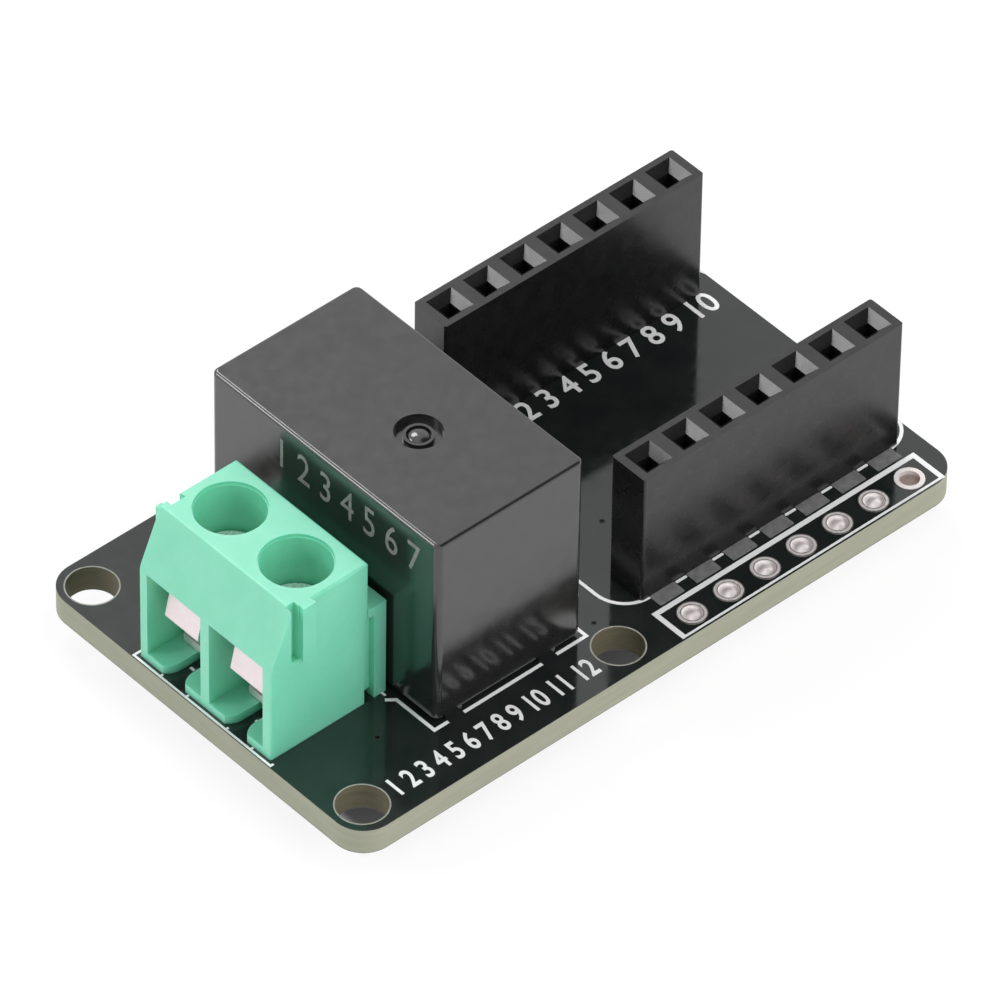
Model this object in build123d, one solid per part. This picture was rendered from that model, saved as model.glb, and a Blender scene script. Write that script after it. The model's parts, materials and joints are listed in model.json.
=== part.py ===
from build123d import *
import os

# Every size is in millimetres. X runs along the board from the screw terminals to the sockets,
# Y across it, and Z up from the surface on which the trimmed pin tails stand.

# Circuit board
BOARD_LENGTH = 41.5
BOARD_WIDTH = 24.8
BOARD_THICKNESS = 1.6
BOARD_CORNER_R = 1.8
TAIL_LENGTH = 1.6
MOUNT_HOLE_R = 1.4
MOUNT_SPACING_X = 17.4
MOUNT_INSET_X = 1.8
MOUNT_INSET_Y = 1.9
PIN_HOLE_CLEARANCE = 0.08

# Plated holes along both long edges and the tin that fills the near row
EDGE_HOLE_INSET = 1.19
EDGE_HOLE_R = 0.56
EDGE_PAD_R = 0.82
PLATING_WALL = 0.05
PAD_HEIGHT = 0.05
EDGE_FILLED_COUNT = 6
FILL_DOME_R = 0.42
FILL_DOME_RISE = 0.03
FILL_VALLEY_DEPTH = 0.14

# Solder cones under the board
CONE_PAD_R = 0.45
CONE_HEIGHT = 0.9
CONE_TIP_WALL = 0.1
CONE_WAIST_REACH = 0.3
CONE_WAIST_DROP = 0.35

# Socket strips
SOCKET_COUNT = 7
SOCKET_PITCH = 2.54
SOCKET_ROW_SPACING = 15.24
SOCKET_END_INSET = 2.61
STRIP_END = 1.38
STRIP_WIDTH = 2.5
STRIP_HEIGHT = 8.5
STRIP_EDGE_R = 0.15
FUNNEL_SIZE = 1.75
FUNNEL_DEPTH = 0.5
NECK_SIZE = 0.8
NECK_LENGTH = 1.05
POCKET_LENGTH = 1.5
POCKET_WIDTH = 1.5
STRIP_FLOOR = 0.7
FORK_SHEET = 0.2
FORK_LENGTH = 1.1
FORK_PINCH_GAP = 0.35
FORK_MOUTH_GAP = 0.7
FORK_CLEARANCE = 0.05
FORK_PINCH_LEVEL = 0.82
FORK_FOOT_HEIGHT = 1.0
SOCKET_TAIL_SIZE = 0.6

# Screw terminal housing
POLE_COUNT = 2
POLE_PITCH = 5.08
TERMINAL_INSET_X = 0.35
TERMINAL_Y = -0.05
TERMINAL_HEIGHT = 9.7
TERMINAL_BODY_DEPTH = 6.55
TERMINAL_WALL = 0.6
TERMINAL_DIVIDER = 0.65
TERMINAL_REAR_WALL = 0.3
TERMINAL_FLOOR = 0.55
SLOPE_START = 6.25
SLOPE_RUN = 1.45
TERMINAL_EDGE_R = 0.12
TERMINAL_KNEE_R = 1.5
MOUTH_LINTEL = 0.15
MOUTH_DEPTH = 1.6
FLOOR_SLOT_THROAT = 0.95
FLOOR_SLOT_MOUTH = 1.75
FLOOR_SLOT_FLARE = 0.9
FLARE_TURN_REACH = 0.33
FLARE_TURN_LEFT = 0.4
FLOOR_SLOT_DEPTH = 3.1
SCREW_HOLE_R = 1.9
SCREW_HOLE_TO_REAR = 2.6
SCREW_HOLE_LIP = 0.07
SCREW_HOLE_LIP_DEPTH = 0.2
KEY_START = 1.95
KEY_WIDTH = 0.75
KEY_HEIGHT = 3.7
KEY_DEPTH = 0.35
KEY_FLARE = 0.12
KEY_CLEARANCE = 0.05
KEY_GROOVE_START = 1.4
KEY_GROOVE_WIDTH = 0.5
FLANGE_THICKNESS = 0.8
FLANGE_GAP = 0.4
FLANGE_HEIGHT = 6.4
FLANGE_WEB_FOOT = 0.5
FLANGE_GROOVE_DEPTH = 0.36
FLANGE_GROOVE_BITE = 0.26
FLANGE_GROOVE_CAP = 0.55

# Rising clamp of each pole
CAGE_WALL_GAP = 0.25
CAGE_TAIL_GAP = 0.12
CAGE_SIDE = 0.35
CAGE_FLOOR = 0.5
CAGE_TOP = 0.7
CAGE_LIP = 0.3
CAGE_CORNER_R = 0.25
CAGE_FLOOR_GAP = 0.05
RIB_COUNT = 5
RIB_PITCH = 0.4
RIB_DEPTH = 0.15
WIRE_SPACE = 1.55
CLAMP_END_GAP = 0.05
BAR_SHEET = 0.45
BAR_SIDE_GAP = 0.07
BAR_BEND_R = 0.2
BAR_TAIL_WIDTH = 1.1
BAR_TAIL_GAP = 0.08
APRON_CAGE_GAP = 0.8
RAMP_LIP_GAP = 0.1
APRON_LEAN = 0.45
APRON_RISE = 0.65
APRON_HEIGHT = 2.0
SCREW_SHANK_R = 1.25
SCREW_HEAD_CLEARANCE = 0.08
SCREW_HEAD_HEIGHT = 1.1
SCREW_TIP_GAP = 0.02
THREAD_CLEARANCE = 0.05
SCREW_SLOT_WIDTH = 0.6
SCREW_SLOT_DEPTH = 0.6
SCREW_HEAD_CHAMFER = 0.15
SCREW_TIP_CHAMFER = 0.25

# Relay cover and base
RELAY_LENGTH = 17.4
RELAY_WIDTH = 9.9
RELAY_HEIGHT = 12.4
RELAY_GAP_X = 0.25
RELAY_WALL = 0.6
RELAY_ROOF = 0.9
RELAY_CORNER_R = 0.4
RELAY_TOP_R = 0.2
RELAY_STANDOFF = 0.35
RELAY_FOOT_WIDTH = 1.1
RELAY_FOOT_NEAR = 3.75
RELAY_FOOT_FAR = 2.6
VENT_R = 1.3
VENT_DEPTH = 0.45
VENT_OFFSET = 1.65
VENT_RING_R = 0.82
VENT_RING_WALL = 0.16
VENT_RING_HEIGHT = 0.25
VENT_NUB_R = 0.3
VENT_NUB_HEIGHT = 0.3
RELAY_BASE_RECESS = 0.2
RELAY_BASE_THICKNESS = 1.2
RELAY_BASE_CLEARANCE = 0.03
RELAY_PIN_CLEARANCE = 0.02

# Magnet of the relay
YOKE_SHEET = 1.0
YOKE_WIDTH = 7.0
YOKE_LEG_REACH = 3.4
YOKE_WALL_GAP = 0.3
BOBBIN_YOKE_GAP = 0.4
CORE_R = 1.5
POLE_R = 2.7
POLE_THICKNESS = 0.6
BOBBIN_HUB_WALL = 0.55
BOBBIN_FLANGE = 0.7
BOBBIN_WALL_GAP = 0.1
BOBBIN_LENGTH = 8.0
BOBBIN_CORNER_R = 0.8
WINDING_INSET = 0.3
COIL_FIT = 0.02
COIL_PIN_SIZE = 0.6
COIL_PIN_EDGE_X = 0.44
COIL_PIN_EDGE_Y = 1.0
COIL_PIN_HOLD = 0.5

# Armature and contacts of the relay
ROOF_CLEARANCE = 0.4
POLE_GAP = 0.4
HINGE_GAP = 0.02
ARMATURE_SHEET = 0.8
ARMATURE_WIDTH = 6.4
ARMATURE_OVERHANG = 1.2
LEAF_SHEET = 0.15
LEAF_WIDTH = 3.0
LEAF_TIP_WIDTH = 2.2
LEAF_ROOT_INSET = 1.6
LEAF_TIP_REACH = 0.9
STUD_R = 0.45
STUD_HEAD_R = 0.75
STUD_HEAD_HEIGHT = 0.2
STUD_SPACING = 2.6
CONTACT_R = 0.8
CONTACT_THICKNESS = 0.5
CONTACT_NECK_R = 0.4
CONTACT_HEAD_HEIGHT = 0.2
CONTACT_GAP = 0.72
CONTACT_INSET = 1.8
FIXED_SHEET = 0.5
FIXED_WIDTH = 2.6
FIXED_WALL_GAP = 0.35
FIXED_SHELF = 2.4
FIXED_BUTTON_HEIGHT = 0.4
RELAY_TAIL_WIDTH = 1.0
TOWER_DEPTH = 1.2
TOWER_WIDTH = 3.4
TOWER_SHELF_GAP = 1.88
COMMON_SHEET = 0.5
COMMON_WIDTH = 2.0

# Driver parts soldered under the board
DRIVER_X = 0.3
TRANSISTOR_Y = 4.4
DIODE_Y = 0.9
BASE_RESISTOR_Y = -2.0
BLEED_RESISTOR_Y = -4.4
TRANSISTOR_LENGTH = 2.9
TRANSISTOR_WIDTH = 1.3
TRANSISTOR_HEIGHT = 0.95
TRANSISTOR_LEAD_WIDTH = 0.4
TRANSISTOR_LEAD_SHEET = 0.13
TRANSISTOR_LEAD_SPACING = 1.9
TRANSISTOR_LEAD_REACH = 0.55
DIODE_LENGTH = 2.7
DIODE_WIDTH = 1.6
DIODE_HEIGHT = 0.95
DIODE_LEAD_WIDTH = 0.6
DIODE_LEAD_SHEET = 0.15
DIODE_LEAD_REACH = 0.5
PACKAGE_LIFT = 0.08
PACKAGE_DRAFT = 0.1
CHIP_LENGTH = 1.6
CHIP_WIDTH = 0.8
CHIP_HEIGHT = 0.45
CHIP_CAP_LENGTH = 0.3
CHIP_CAP_SHEET = 0.05

# Levels and places worked out from the sizes above
BOARD_BOTTOM = TAIL_LENGTH
BOARD_TOP = BOARD_BOTTOM + BOARD_THICKNESS
TAIL_END = -BOARD_TOP
FAR_X = BOARD_LENGTH / 2
SOCKET_SPAN = (SOCKET_COUNT - 1) * SOCKET_PITCH
SOCKET_FIRST_X = FAR_X - SOCKET_END_INSET - SOCKET_SPAN
STRIP_LENGTH = SOCKET_SPAN + 2 * STRIP_END
ROW_Y = SOCKET_ROW_SPACING / 2
EDGE_ROW_Y = BOARD_WIDTH / 2 - EDGE_HOLE_INSET
MOUNT_X = (-FAR_X + MOUNT_INSET_X, -FAR_X + MOUNT_INSET_X + MOUNT_SPACING_X)
MOUNT_SPACING_Y = BOARD_WIDTH - 2 * MOUNT_INSET_Y
MOUNT_Y = (-MOUNT_SPACING_Y / 2, MOUNT_SPACING_Y / 2)

TERMINAL_X = -FAR_X + TERMINAL_INSET_X
TERMINAL_WIDTH = POLE_COUNT * POLE_PITCH
TERMINAL_DEPTH = TERMINAL_BODY_DEPTH + FLANGE_GAP + FLANGE_THICKNESS
POLE_OFFSET = (POLE_PITCH / 2, -POLE_PITCH / 2)
POLE_Y = (TERMINAL_Y + POLE_OFFSET[0], TERMINAL_Y + POLE_OFFSET[1])
SCREW_HOLE_INSET = TERMINAL_BODY_DEPTH - SCREW_HOLE_TO_REAR
MOUTH_TOP = SLOPE_START - MOUTH_LINTEL
CAGE_BOTTOM = TERMINAL_FLOOR + CAGE_FLOOR_GAP
BAR_BOTTOM = CAGE_BOTTOM + CAGE_FLOOR + WIRE_SPACE
BAR_TOP = BAR_BOTTOM + BAR_SHEET
CLAMP_TRAVEL = WIRE_SPACE - CLAMP_END_GAP
CAGE_HEIGHT = CAGE_FLOOR + WIRE_SPACE + BAR_SHEET + CLAMP_END_GAP + CAGE_TOP
CAGE_ROOM_TOP = CAGE_BOTTOM + CAGE_HEIGHT + CLAMP_TRAVEL + CLAMP_END_GAP
SCREW_HEAD_BOTTOM = CAGE_ROOM_TOP + CLAMP_END_GAP
CAVITY_END = TERMINAL_BODY_DEPTH - TERMINAL_REAR_WALL
BAR_TAIL_BACK = CAVITY_END - BAR_TAIL_GAP
BAR_TAIL_FRONT = BAR_TAIL_BACK - BAR_SHEET
CAGE_WIDTH = 2 * (TERMINAL_WIDTH / 2 - TERMINAL_WALL - POLE_PITCH / 2 - CAGE_WALL_GAP)
CAGE_LENGTH = 2 * (BAR_TAIL_FRONT - CAGE_TAIL_GAP - SCREW_HOLE_INSET)
CAGE_START = SCREW_HOLE_INSET - CAGE_LENGTH / 2
BAR_WIDTH = CAGE_WIDTH - 2 * CAGE_SIDE - 2 * BAR_SIDE_GAP
APRON_INSET = CAGE_START - APRON_CAGE_GAP - BAR_SHEET - APRON_LEAN
SCREW_HEAD_R = SCREW_HOLE_R - SCREW_HEAD_CLEARANCE

RELAY_X = TERMINAL_X + TERMINAL_DEPTH + RELAY_GAP_X + RELAY_WIDTH / 2
BASE_BOTTOM = RELAY_STANDOFF + RELAY_BASE_RECESS
BASE_TOP = BASE_BOTTOM + RELAY_BASE_THICKNESS
BASE_LENGTH = RELAY_LENGTH - 2 * RELAY_WALL - 2 * RELAY_BASE_CLEARANCE
BASE_WIDTH = RELAY_WIDTH - 2 * RELAY_WALL - 2 * RELAY_BASE_CLEARANCE
INNER_END = RELAY_LENGTH / 2 - RELAY_WALL
YOKE_BACK = INNER_END - YOKE_WALL_GAP
YOKE_FACE = YOKE_BACK - YOKE_SHEET
COIL_Y = YOKE_FACE - BOBBIN_YOKE_GAP - BOBBIN_LENGTH / 2
LEG_TOP = BASE_TOP + YOKE_SHEET
LEG_END = COIL_Y - YOKE_LEG_REACH
ARMATURE_TOP = RELAY_HEIGHT - RELAY_ROOF - ROOF_CLEARANCE - STUD_HEAD_HEIGHT - LEAF_SHEET
ARMATURE_BOTTOM = ARMATURE_TOP - ARMATURE_SHEET
POLE_FACE = ARMATURE_BOTTOM - POLE_GAP
BOBBIN_TOP = POLE_FACE - POLE_THICKNESS
WINDING_TOP = BOBBIN_TOP - BOBBIN_FLANGE
WINDING_BOTTOM = LEG_TOP + BOBBIN_FLANGE
BOBBIN_WIDTH = RELAY_WIDTH - 2 * RELAY_WALL - 2 * BOBBIN_WALL_GAP
WINDING_R = BOBBIN_LENGTH / 2 - WINDING_INSET
HUB_R = CORE_R + COIL_FIT + BOBBIN_HUB_WALL
CONTACT_Y = -INNER_END + CONTACT_INSET
MOVING_CONTACT_BOTTOM = ARMATURE_TOP - CONTACT_THICKNESS
FIXED_BUTTON_TOP = MOVING_CONTACT_BOTTOM - CONTACT_GAP
FIXED_SHELF_TOP = FIXED_BUTTON_TOP - FIXED_BUTTON_HEIGHT
FIXED_BACK = -INNER_END + FIXED_WALL_GAP
TOWER_TOP = FIXED_SHELF_TOP - FIXED_SHEET - TOWER_SHELF_GAP
COIL_PIN_SIDE = BOBBIN_WIDTH / 2 - COIL_PIN_EDGE_X
COIL_PIN_Y = COIL_Y + BOBBIN_LENGTH / 2 - COIL_PIN_EDGE_Y


def block(x, y, z):
    """Straight block between the two ends given along each axis."""
    middle = Pos(sum(x) / 2, sum(y) / 2, sum(z) / 2)
    return middle * Box(x[1] - x[0], y[1] - y[0], z[1] - z[0])


def upright(radius, bottom, top):
    """Round bar standing on the Z axis between two levels."""
    return Pos(0, 0, (bottom + top) / 2) * Cylinder(radius, top - bottom)


def along_y(face, width, middle=0):
    """Pushes a face drawn in the X-Z plane along Y, half to each side of the middle."""
    return Pos(0, middle, 0) * extrude(face, width / 2, both=True)


def side_outline(*points):
    """Closed outline of X-Z points."""
    return Plane.XZ * make_face(Polyline(*points, close=True))


def cross_outline(*points):
    """Closed outline of Y-Z points."""
    return Plane.YZ * make_face(Polyline(*points, close=True))


def bent_sheet(points, sheet):
    """X-Z outline of a bent sheet, from the points along the face that its bends turn away from."""
    points = [Vector(x, 0, z) for x, z in points]
    inner = []
    for i, point in enumerate(points):
        runs = [(b - a).normalized() for a, b in zip(points[max(i - 1, 0):i + 1], points[max(i, 1):i + 2])]
        across = [Vector(-run.Z, 0, run.X) for run in runs or [(points[-1] - points[-2]).normalized()]]
        mitre = sum(across[1:], across[0]).normalized()
        reach = sheet / mitre.dot(across[0])
        inner.append(point + mitre * reach)
    return [(v.X, v.Z) for v in points], [(v.X, v.Z) for v in inner]


def turned(*points):
    """Body of revolution about Z from radius-height points."""
    return revolve(side_outline(*points), Axis.Z)


def socket_places():
    """X of each socket in a row."""
    return [SOCKET_FIRST_X + i * SOCKET_PITCH for i in range(SOCKET_COUNT)]


def relay_tails():
    """Place and section of each relay pin that goes through the base and the board."""
    return {
        "relay_coil_pin_left": (-COIL_PIN_SIDE, COIL_PIN_Y, COIL_PIN_SIZE, COIL_PIN_SIZE),
        "relay_coil_pin_right": (COIL_PIN_SIDE, COIL_PIN_Y, COIL_PIN_SIZE, COIL_PIN_SIZE),
        "relay_common_terminal": (0, LEG_END - COMMON_SHEET / 2, RELAY_TAIL_WIDTH, COMMON_SHEET),
        "relay_fixed_terminal": (0, FIXED_BACK + FIXED_SHEET / 2, RELAY_TAIL_WIDTH, FIXED_SHEET),
    }


def tail_places():
    """Board place and section of every pin soldered through the board, by the group it is in."""
    sockets = [(x, side * ROW_Y, SOCKET_TAIL_SIZE, SOCKET_TAIL_SIZE)
               for side in (-1, 1) for x in socket_places()]
    bar_tail_x = TERMINAL_X + (BAR_TAIL_FRONT + BAR_TAIL_BACK) / 2
    terminals = [(bar_tail_x, y, BAR_SHEET, BAR_TAIL_WIDTH) for y in POLE_Y]
    relay = [(RELAY_X + x, y, w, d) for x, y, w, d in relay_tails().values()]
    return {"front_socket_solder": sockets[:SOCKET_COUNT], "rear_socket_solder": sockets[SOCKET_COUNT:],
            "terminal_solder": terminals, "relay_solder": relay}


def tail_radius(width, depth):
    """Radius of the circle round a rectangular pin."""
    return (width ** 2 + depth ** 2) ** 0.5 / 2


def circuit_board():
    """Laminate with rounded corners, four mounting holes and every pin hole."""
    outline = RectangleRounded(BOARD_LENGTH, BOARD_WIDTH, BOARD_CORNER_R)
    for x in MOUNT_X:
        for y in MOUNT_Y:
            outline -= Pos(x, y) * Circle(MOUNT_HOLE_R)
    for side in (-1, 1):
        for x in socket_places():
            outline -= Pos(x, side * EDGE_ROW_Y) * Circle(EDGE_HOLE_R + PLATING_WALL)
    for places in tail_places().values():
        for x, y, width, depth in places:
            outline -= Pos(x, y) * Circle(tail_radius(width, depth) + PIN_HOLE_CLEARANCE)
    return Pos(0, 0, BOARD_BOTTOM) * extrude(outline, BOARD_THICKNESS)


def edge_plating(side):
    """Tinned lining and pads of one row of edge holes."""
    outer = EDGE_HOLE_R + PLATING_WALL
    low, high = BOARD_BOTTOM, BOARD_TOP
    sleeve = turned((EDGE_HOLE_R, low - PAD_HEIGHT), (EDGE_PAD_R, low - PAD_HEIGHT), (EDGE_PAD_R, low),
                    (outer, low), (outer, high), (EDGE_PAD_R, high), (EDGE_PAD_R, high + PAD_HEIGHT),
                    (EDGE_HOLE_R, high + PAD_HEIGHT))
    return [Pos(x, side * EDGE_ROW_Y, 0) * sleeve for x in socket_places()]


def edge_solder():
    """Tin standing in the first holes of the near row, a low dome inside a sunken ring."""
    low, high = BOARD_BOTTOM - PAD_HEIGHT, BOARD_TOP + PAD_HEIGHT
    valley = (FILL_DOME_R, high - FILL_VALLEY_DEPTH)
    dome = TangentArc((0, high + FILL_DOME_RISE), valley, tangent=(1, 0))
    flank = TangentArc((EDGE_HOLE_R, high), valley, tangent=(0, -1))
    core = Polyline((EDGE_HOLE_R, high), (EDGE_HOLE_R, low), (0, low), (0, high + FILL_DOME_RISE))
    fill = revolve(Plane.XZ * make_face(Curve() + [dome, flank, core]), Axis.Z)
    return [Pos(x, -EDGE_ROW_Y, 0) * fill for x in socket_places()[:EDGE_FILLED_COUNT]]


def solder_cones(places):
    """Hollow-sided cone of tin round each pin, under the board."""
    cones = []
    for x, y, width, depth in places:
        pin = tail_radius(width, depth)
        foot, tip = pin + CONE_PAD_R, pin + CONE_TIP_WALL
        low = BOARD_BOTTOM - CONE_HEIGHT
        waist = (tip + CONE_PAD_R * CONE_WAIST_REACH, BOARD_BOTTOM - CONE_HEIGHT * CONE_WAIST_DROP)
        flank = ThreePointArc((foot, BOARD_BOTTOM), waist, (tip, low))
        core = Polyline((tip, low), (0, low), (0, BOARD_BOTTOM), (foot, BOARD_BOTTOM))
        cone = revolve(Plane.XZ * make_face(Curve() + [flank, core]), Axis.Z)
        cone -= block((-width / 2, width / 2), (-depth / 2, depth / 2), (low - 1, BOARD_BOTTOM + 1))
        cones.append(Pos(x, y, 0) * cone)
    return cones


def socket_strip(side):
    """Moulded strip with a funnel, a square neck and a pocket over each contact."""
    middle_x = SOCKET_FIRST_X + SOCKET_SPAN / 2
    body = extrude(RectangleRounded(STRIP_LENGTH, STRIP_WIDTH, STRIP_EDGE_R), STRIP_HEIGHT)
    funnel_floor = STRIP_HEIGHT - FUNNEL_DEPTH
    pocket_top = funnel_floor - NECK_LENGTH
    funnel = loft([Pos(0, 0, funnel_floor) * Rectangle(NECK_SIZE, NECK_SIZE),
                   Pos(0, 0, STRIP_HEIGHT) * Rectangle(FUNNEL_SIZE, FUNNEL_SIZE)])
    neck = Pos(0, 0, pocket_top) * extrude(Rectangle(NECK_SIZE, NECK_SIZE), NECK_LENGTH)
    pocket_face = Rectangle(POCKET_LENGTH, POCKET_WIDTH)
    pocket = Pos(0, 0, STRIP_FLOOR) * extrude(pocket_face, pocket_top - STRIP_FLOOR)
    tail = extrude(Rectangle(SOCKET_TAIL_SIZE, SOCKET_TAIL_SIZE), STRIP_FLOOR)
    for i in range(SOCKET_COUNT):
        place = Pos(SOCKET_FIRST_X + i * SOCKET_PITCH - middle_x, 0, 0)
        body -= place * (funnel + neck + pocket + tail)
    return Pos(middle_x, side * ROW_Y, BOARD_TOP) * body


def socket_contact(x, side):
    """Fork of two sprung leaves on a square tail."""
    half = POCKET_WIDTH / 2 - FORK_CLEARANCE
    inner = half - FORK_SHEET
    low, foot = STRIP_FLOOR, STRIP_FLOOR + FORK_FOOT_HEIGHT
    top = STRIP_HEIGHT - FUNNEL_DEPTH - NECK_LENGTH - FORK_CLEARANCE
    pinch = low + (top - low) * FORK_PINCH_LEVEL
    pinch_half, mouth_half = FORK_PINCH_GAP / 2, FORK_MOUTH_GAP / 2
    right = [(half, low), (half, foot), (pinch_half + FORK_SHEET, pinch), (mouth_half + FORK_SHEET, top)]
    inside = [(mouth_half, top), (pinch_half, pinch), (inner, foot), (inner, low + FORK_SHEET)]
    left = [(-y, z) for y, z in reversed(right + inside)]
    fork = extrude(cross_outline(*right, *inside, *left), FORK_LENGTH / 2, both=True)
    size = SOCKET_TAIL_SIZE / 2
    tail = block((-size, size), (-size, size), (TAIL_END, low))
    return Pos(x, side * ROW_Y, BOARD_TOP) * (fork + tail)


def key_outline(start, width, depth, flare):
    """Dovetail section in the X-Y plane, wider at its far side."""
    return make_face(Polyline((start, 0), (start + width, 0), (start + width + flare, depth),
                              (start - flare, depth), close=True))


def floor_slot():
    """Slot in the floor of a mouth, flared towards the front by rounded corners."""
    mouth, throat = FLOOR_SLOT_MOUTH / 2, FLOOR_SLOT_THROAT / 2
    turn_x, turn_y = FLOOR_SLOT_FLARE * FLARE_TURN_REACH, throat + (mouth - throat) * FLARE_TURN_LEFT
    flares = [ThreePointArc((0, side * mouth), (turn_x, side * turn_y), (FLOOR_SLOT_FLARE, side * throat))
              for side in (-1, 1)]
    front = Polyline((0, -mouth), (-1, -mouth), (-1, mouth), (0, mouth))
    rear = Polyline((FLOOR_SLOT_FLARE, -throat), (FLOOR_SLOT_DEPTH, -throat), (FLOOR_SLOT_DEPTH, throat),
                    (FLOOR_SLOT_FLARE, throat))
    return make_face(Curve() + [*flares, front, rear])


def terminal_housing():
    """Moulded body with two open mouths, screw shafts, dovetail keys and a rear flange."""
    half = TERMINAL_WIDTH / 2
    front = side_outline((0, 0), (0, SLOPE_START), (SLOPE_RUN, TERMINAL_HEIGHT),
                         (TERMINAL_BODY_DEPTH, TERMINAL_HEIGHT), (TERMINAL_BODY_DEPTH, 0))
    body = along_y(front, TERMINAL_WIDTH)
    flange_start = TERMINAL_BODY_DEPTH + FLANGE_GAP
    flange = block((flange_start, TERMINAL_DEPTH), (-half, half), (0, FLANGE_HEIGHT))
    web = block((TERMINAL_BODY_DEPTH, flange_start), (-half, half), (FLANGE_WEB_FOOT, FLANGE_HEIGHT))
    knee = [e for e in body.edges().filter_by(Axis.Y) if abs(e.center().Z - SLOPE_START) < 0.01]
    body = fillet(knee, TERMINAL_KNEE_R)
    smooth = [e for e in body.edges().filter_by(Axis.Y) if e.center().X < SLOPE_RUN - 0.01]
    body = fillet([e for e in body.edges() if e.center().Z > 0.01 and e not in smooth], TERMINAL_EDGE_R)
    body += web + flange
    for side in (-1, 1):
        groove_y = sorted((side * (half - FLANGE_GROOVE_DEPTH), side * (half + 1)))
        body -= block((TERMINAL_BODY_DEPTH - FLANGE_GROOVE_BITE, flange_start), groove_y,
                      (-1, FLANGE_HEIGHT - FLANGE_GROOVE_CAP))

    # Keys let blocks stand side by side: a rib and a groove on each side, handed
    key_low = TERMINAL_HEIGHT - KEY_HEIGHT
    rib = key_outline(KEY_START, KEY_WIDTH, KEY_DEPTH, KEY_FLARE / 2)
    rib_depth, gap = KEY_DEPTH + KEY_CLEARANCE, KEY_CLEARANCE
    rib_groove = key_outline(KEY_START - gap, KEY_WIDTH + 2 * gap, rib_depth, KEY_FLARE / 2)
    thin_rib = key_outline(KEY_GROOVE_START + gap, KEY_GROOVE_WIDTH - 2 * gap, KEY_DEPTH, 0)
    thin_groove = key_outline(KEY_GROOVE_START, KEY_GROOVE_WIDTH, rib_depth, 0)
    rib_root = block((KEY_START, KEY_START + KEY_WIDTH), (-half, -half + TERMINAL_EDGE_R),
                     (key_low, TERMINAL_HEIGHT))
    body += Pos(0, -half, key_low) * extrude(mirror(rib, Plane.XZ), KEY_HEIGHT) + rib_root
    body -= Pos(0, -half, key_low) * extrude(thin_groove, KEY_HEIGHT)
    thin_height = SLOPE_START - key_low
    body += Pos(0, half, key_low) * extrude(thin_rib, KEY_HEIGHT - TERMINAL_EDGE_R - thin_height)
    body -= Pos(0, half, key_low) * extrude(mirror(rib_groove, Plane.XZ), KEY_HEIGHT)

    # Each pole: mouth, cage room, floor slot, screw shaft and the way down for the bar's tail
    cavity_outer = half - TERMINAL_WALL
    cavity_inner = TERMINAL_DIVIDER / 2
    for y in POLE_OFFSET:
        hand = 1 if y > 0 else -1
        span = sorted((hand * cavity_inner, hand * cavity_outer))
        body -= block((-1, MOUTH_DEPTH), span, (TERMINAL_FLOOR, MOUTH_TOP))
        body -= block((0, CAVITY_END), span, (TERMINAL_FLOOR, CAGE_ROOM_TOP))
        body -= Pos(0, sum(span) / 2, 0) * extrude(floor_slot(), TERMINAL_FLOOR)
        shaft = upright(SCREW_HOLE_R, CAGE_ROOM_TOP, TERMINAL_HEIGHT)
        lip = upright(SCREW_HOLE_R + SCREW_HOLE_LIP, TERMINAL_HEIGHT - SCREW_HOLE_LIP_DEPTH, TERMINAL_HEIGHT)
        body -= Pos(SCREW_HOLE_INSET, y, 0) * (shaft + lip)
        tail_half = BAR_TAIL_WIDTH / 2 + BAR_TAIL_GAP
        tail_start = CAVITY_END - BAR_SHEET - 2 * BAR_TAIL_GAP
        body -= block((tail_start, CAVITY_END), (y - tail_half, y + tail_half), (0, TERMINAL_FLOOR))
    return Pos(TERMINAL_X, TERMINAL_Y, BOARD_TOP) * body


def terminal_screw(y):
    """Slotted screw, seen from above at the bottom of its shaft."""
    tip = BAR_TOP + SCREW_TIP_GAP
    top = SCREW_HEAD_BOTTOM + SCREW_HEAD_HEIGHT
    screw = turned((0, tip), (SCREW_SHANK_R - SCREW_TIP_CHAMFER, tip),
                   (SCREW_SHANK_R, tip + SCREW_TIP_CHAMFER), (SCREW_SHANK_R, SCREW_HEAD_BOTTOM),
                   (SCREW_HEAD_R, SCREW_HEAD_BOTTOM), (SCREW_HEAD_R, top - SCREW_HEAD_CHAMFER),
                   (SCREW_HEAD_R - SCREW_HEAD_CHAMFER, top), (0, top))
    reach = SCREW_HEAD_R * 2
    slot_half = SCREW_SLOT_WIDTH / 2
    screw -= block((-slot_half, slot_half), (-reach, reach), (top - SCREW_SLOT_DEPTH, top + 1))
    return Pos(TERMINAL_X + SCREW_HOLE_INSET, y, BOARD_TOP) * screw


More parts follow.
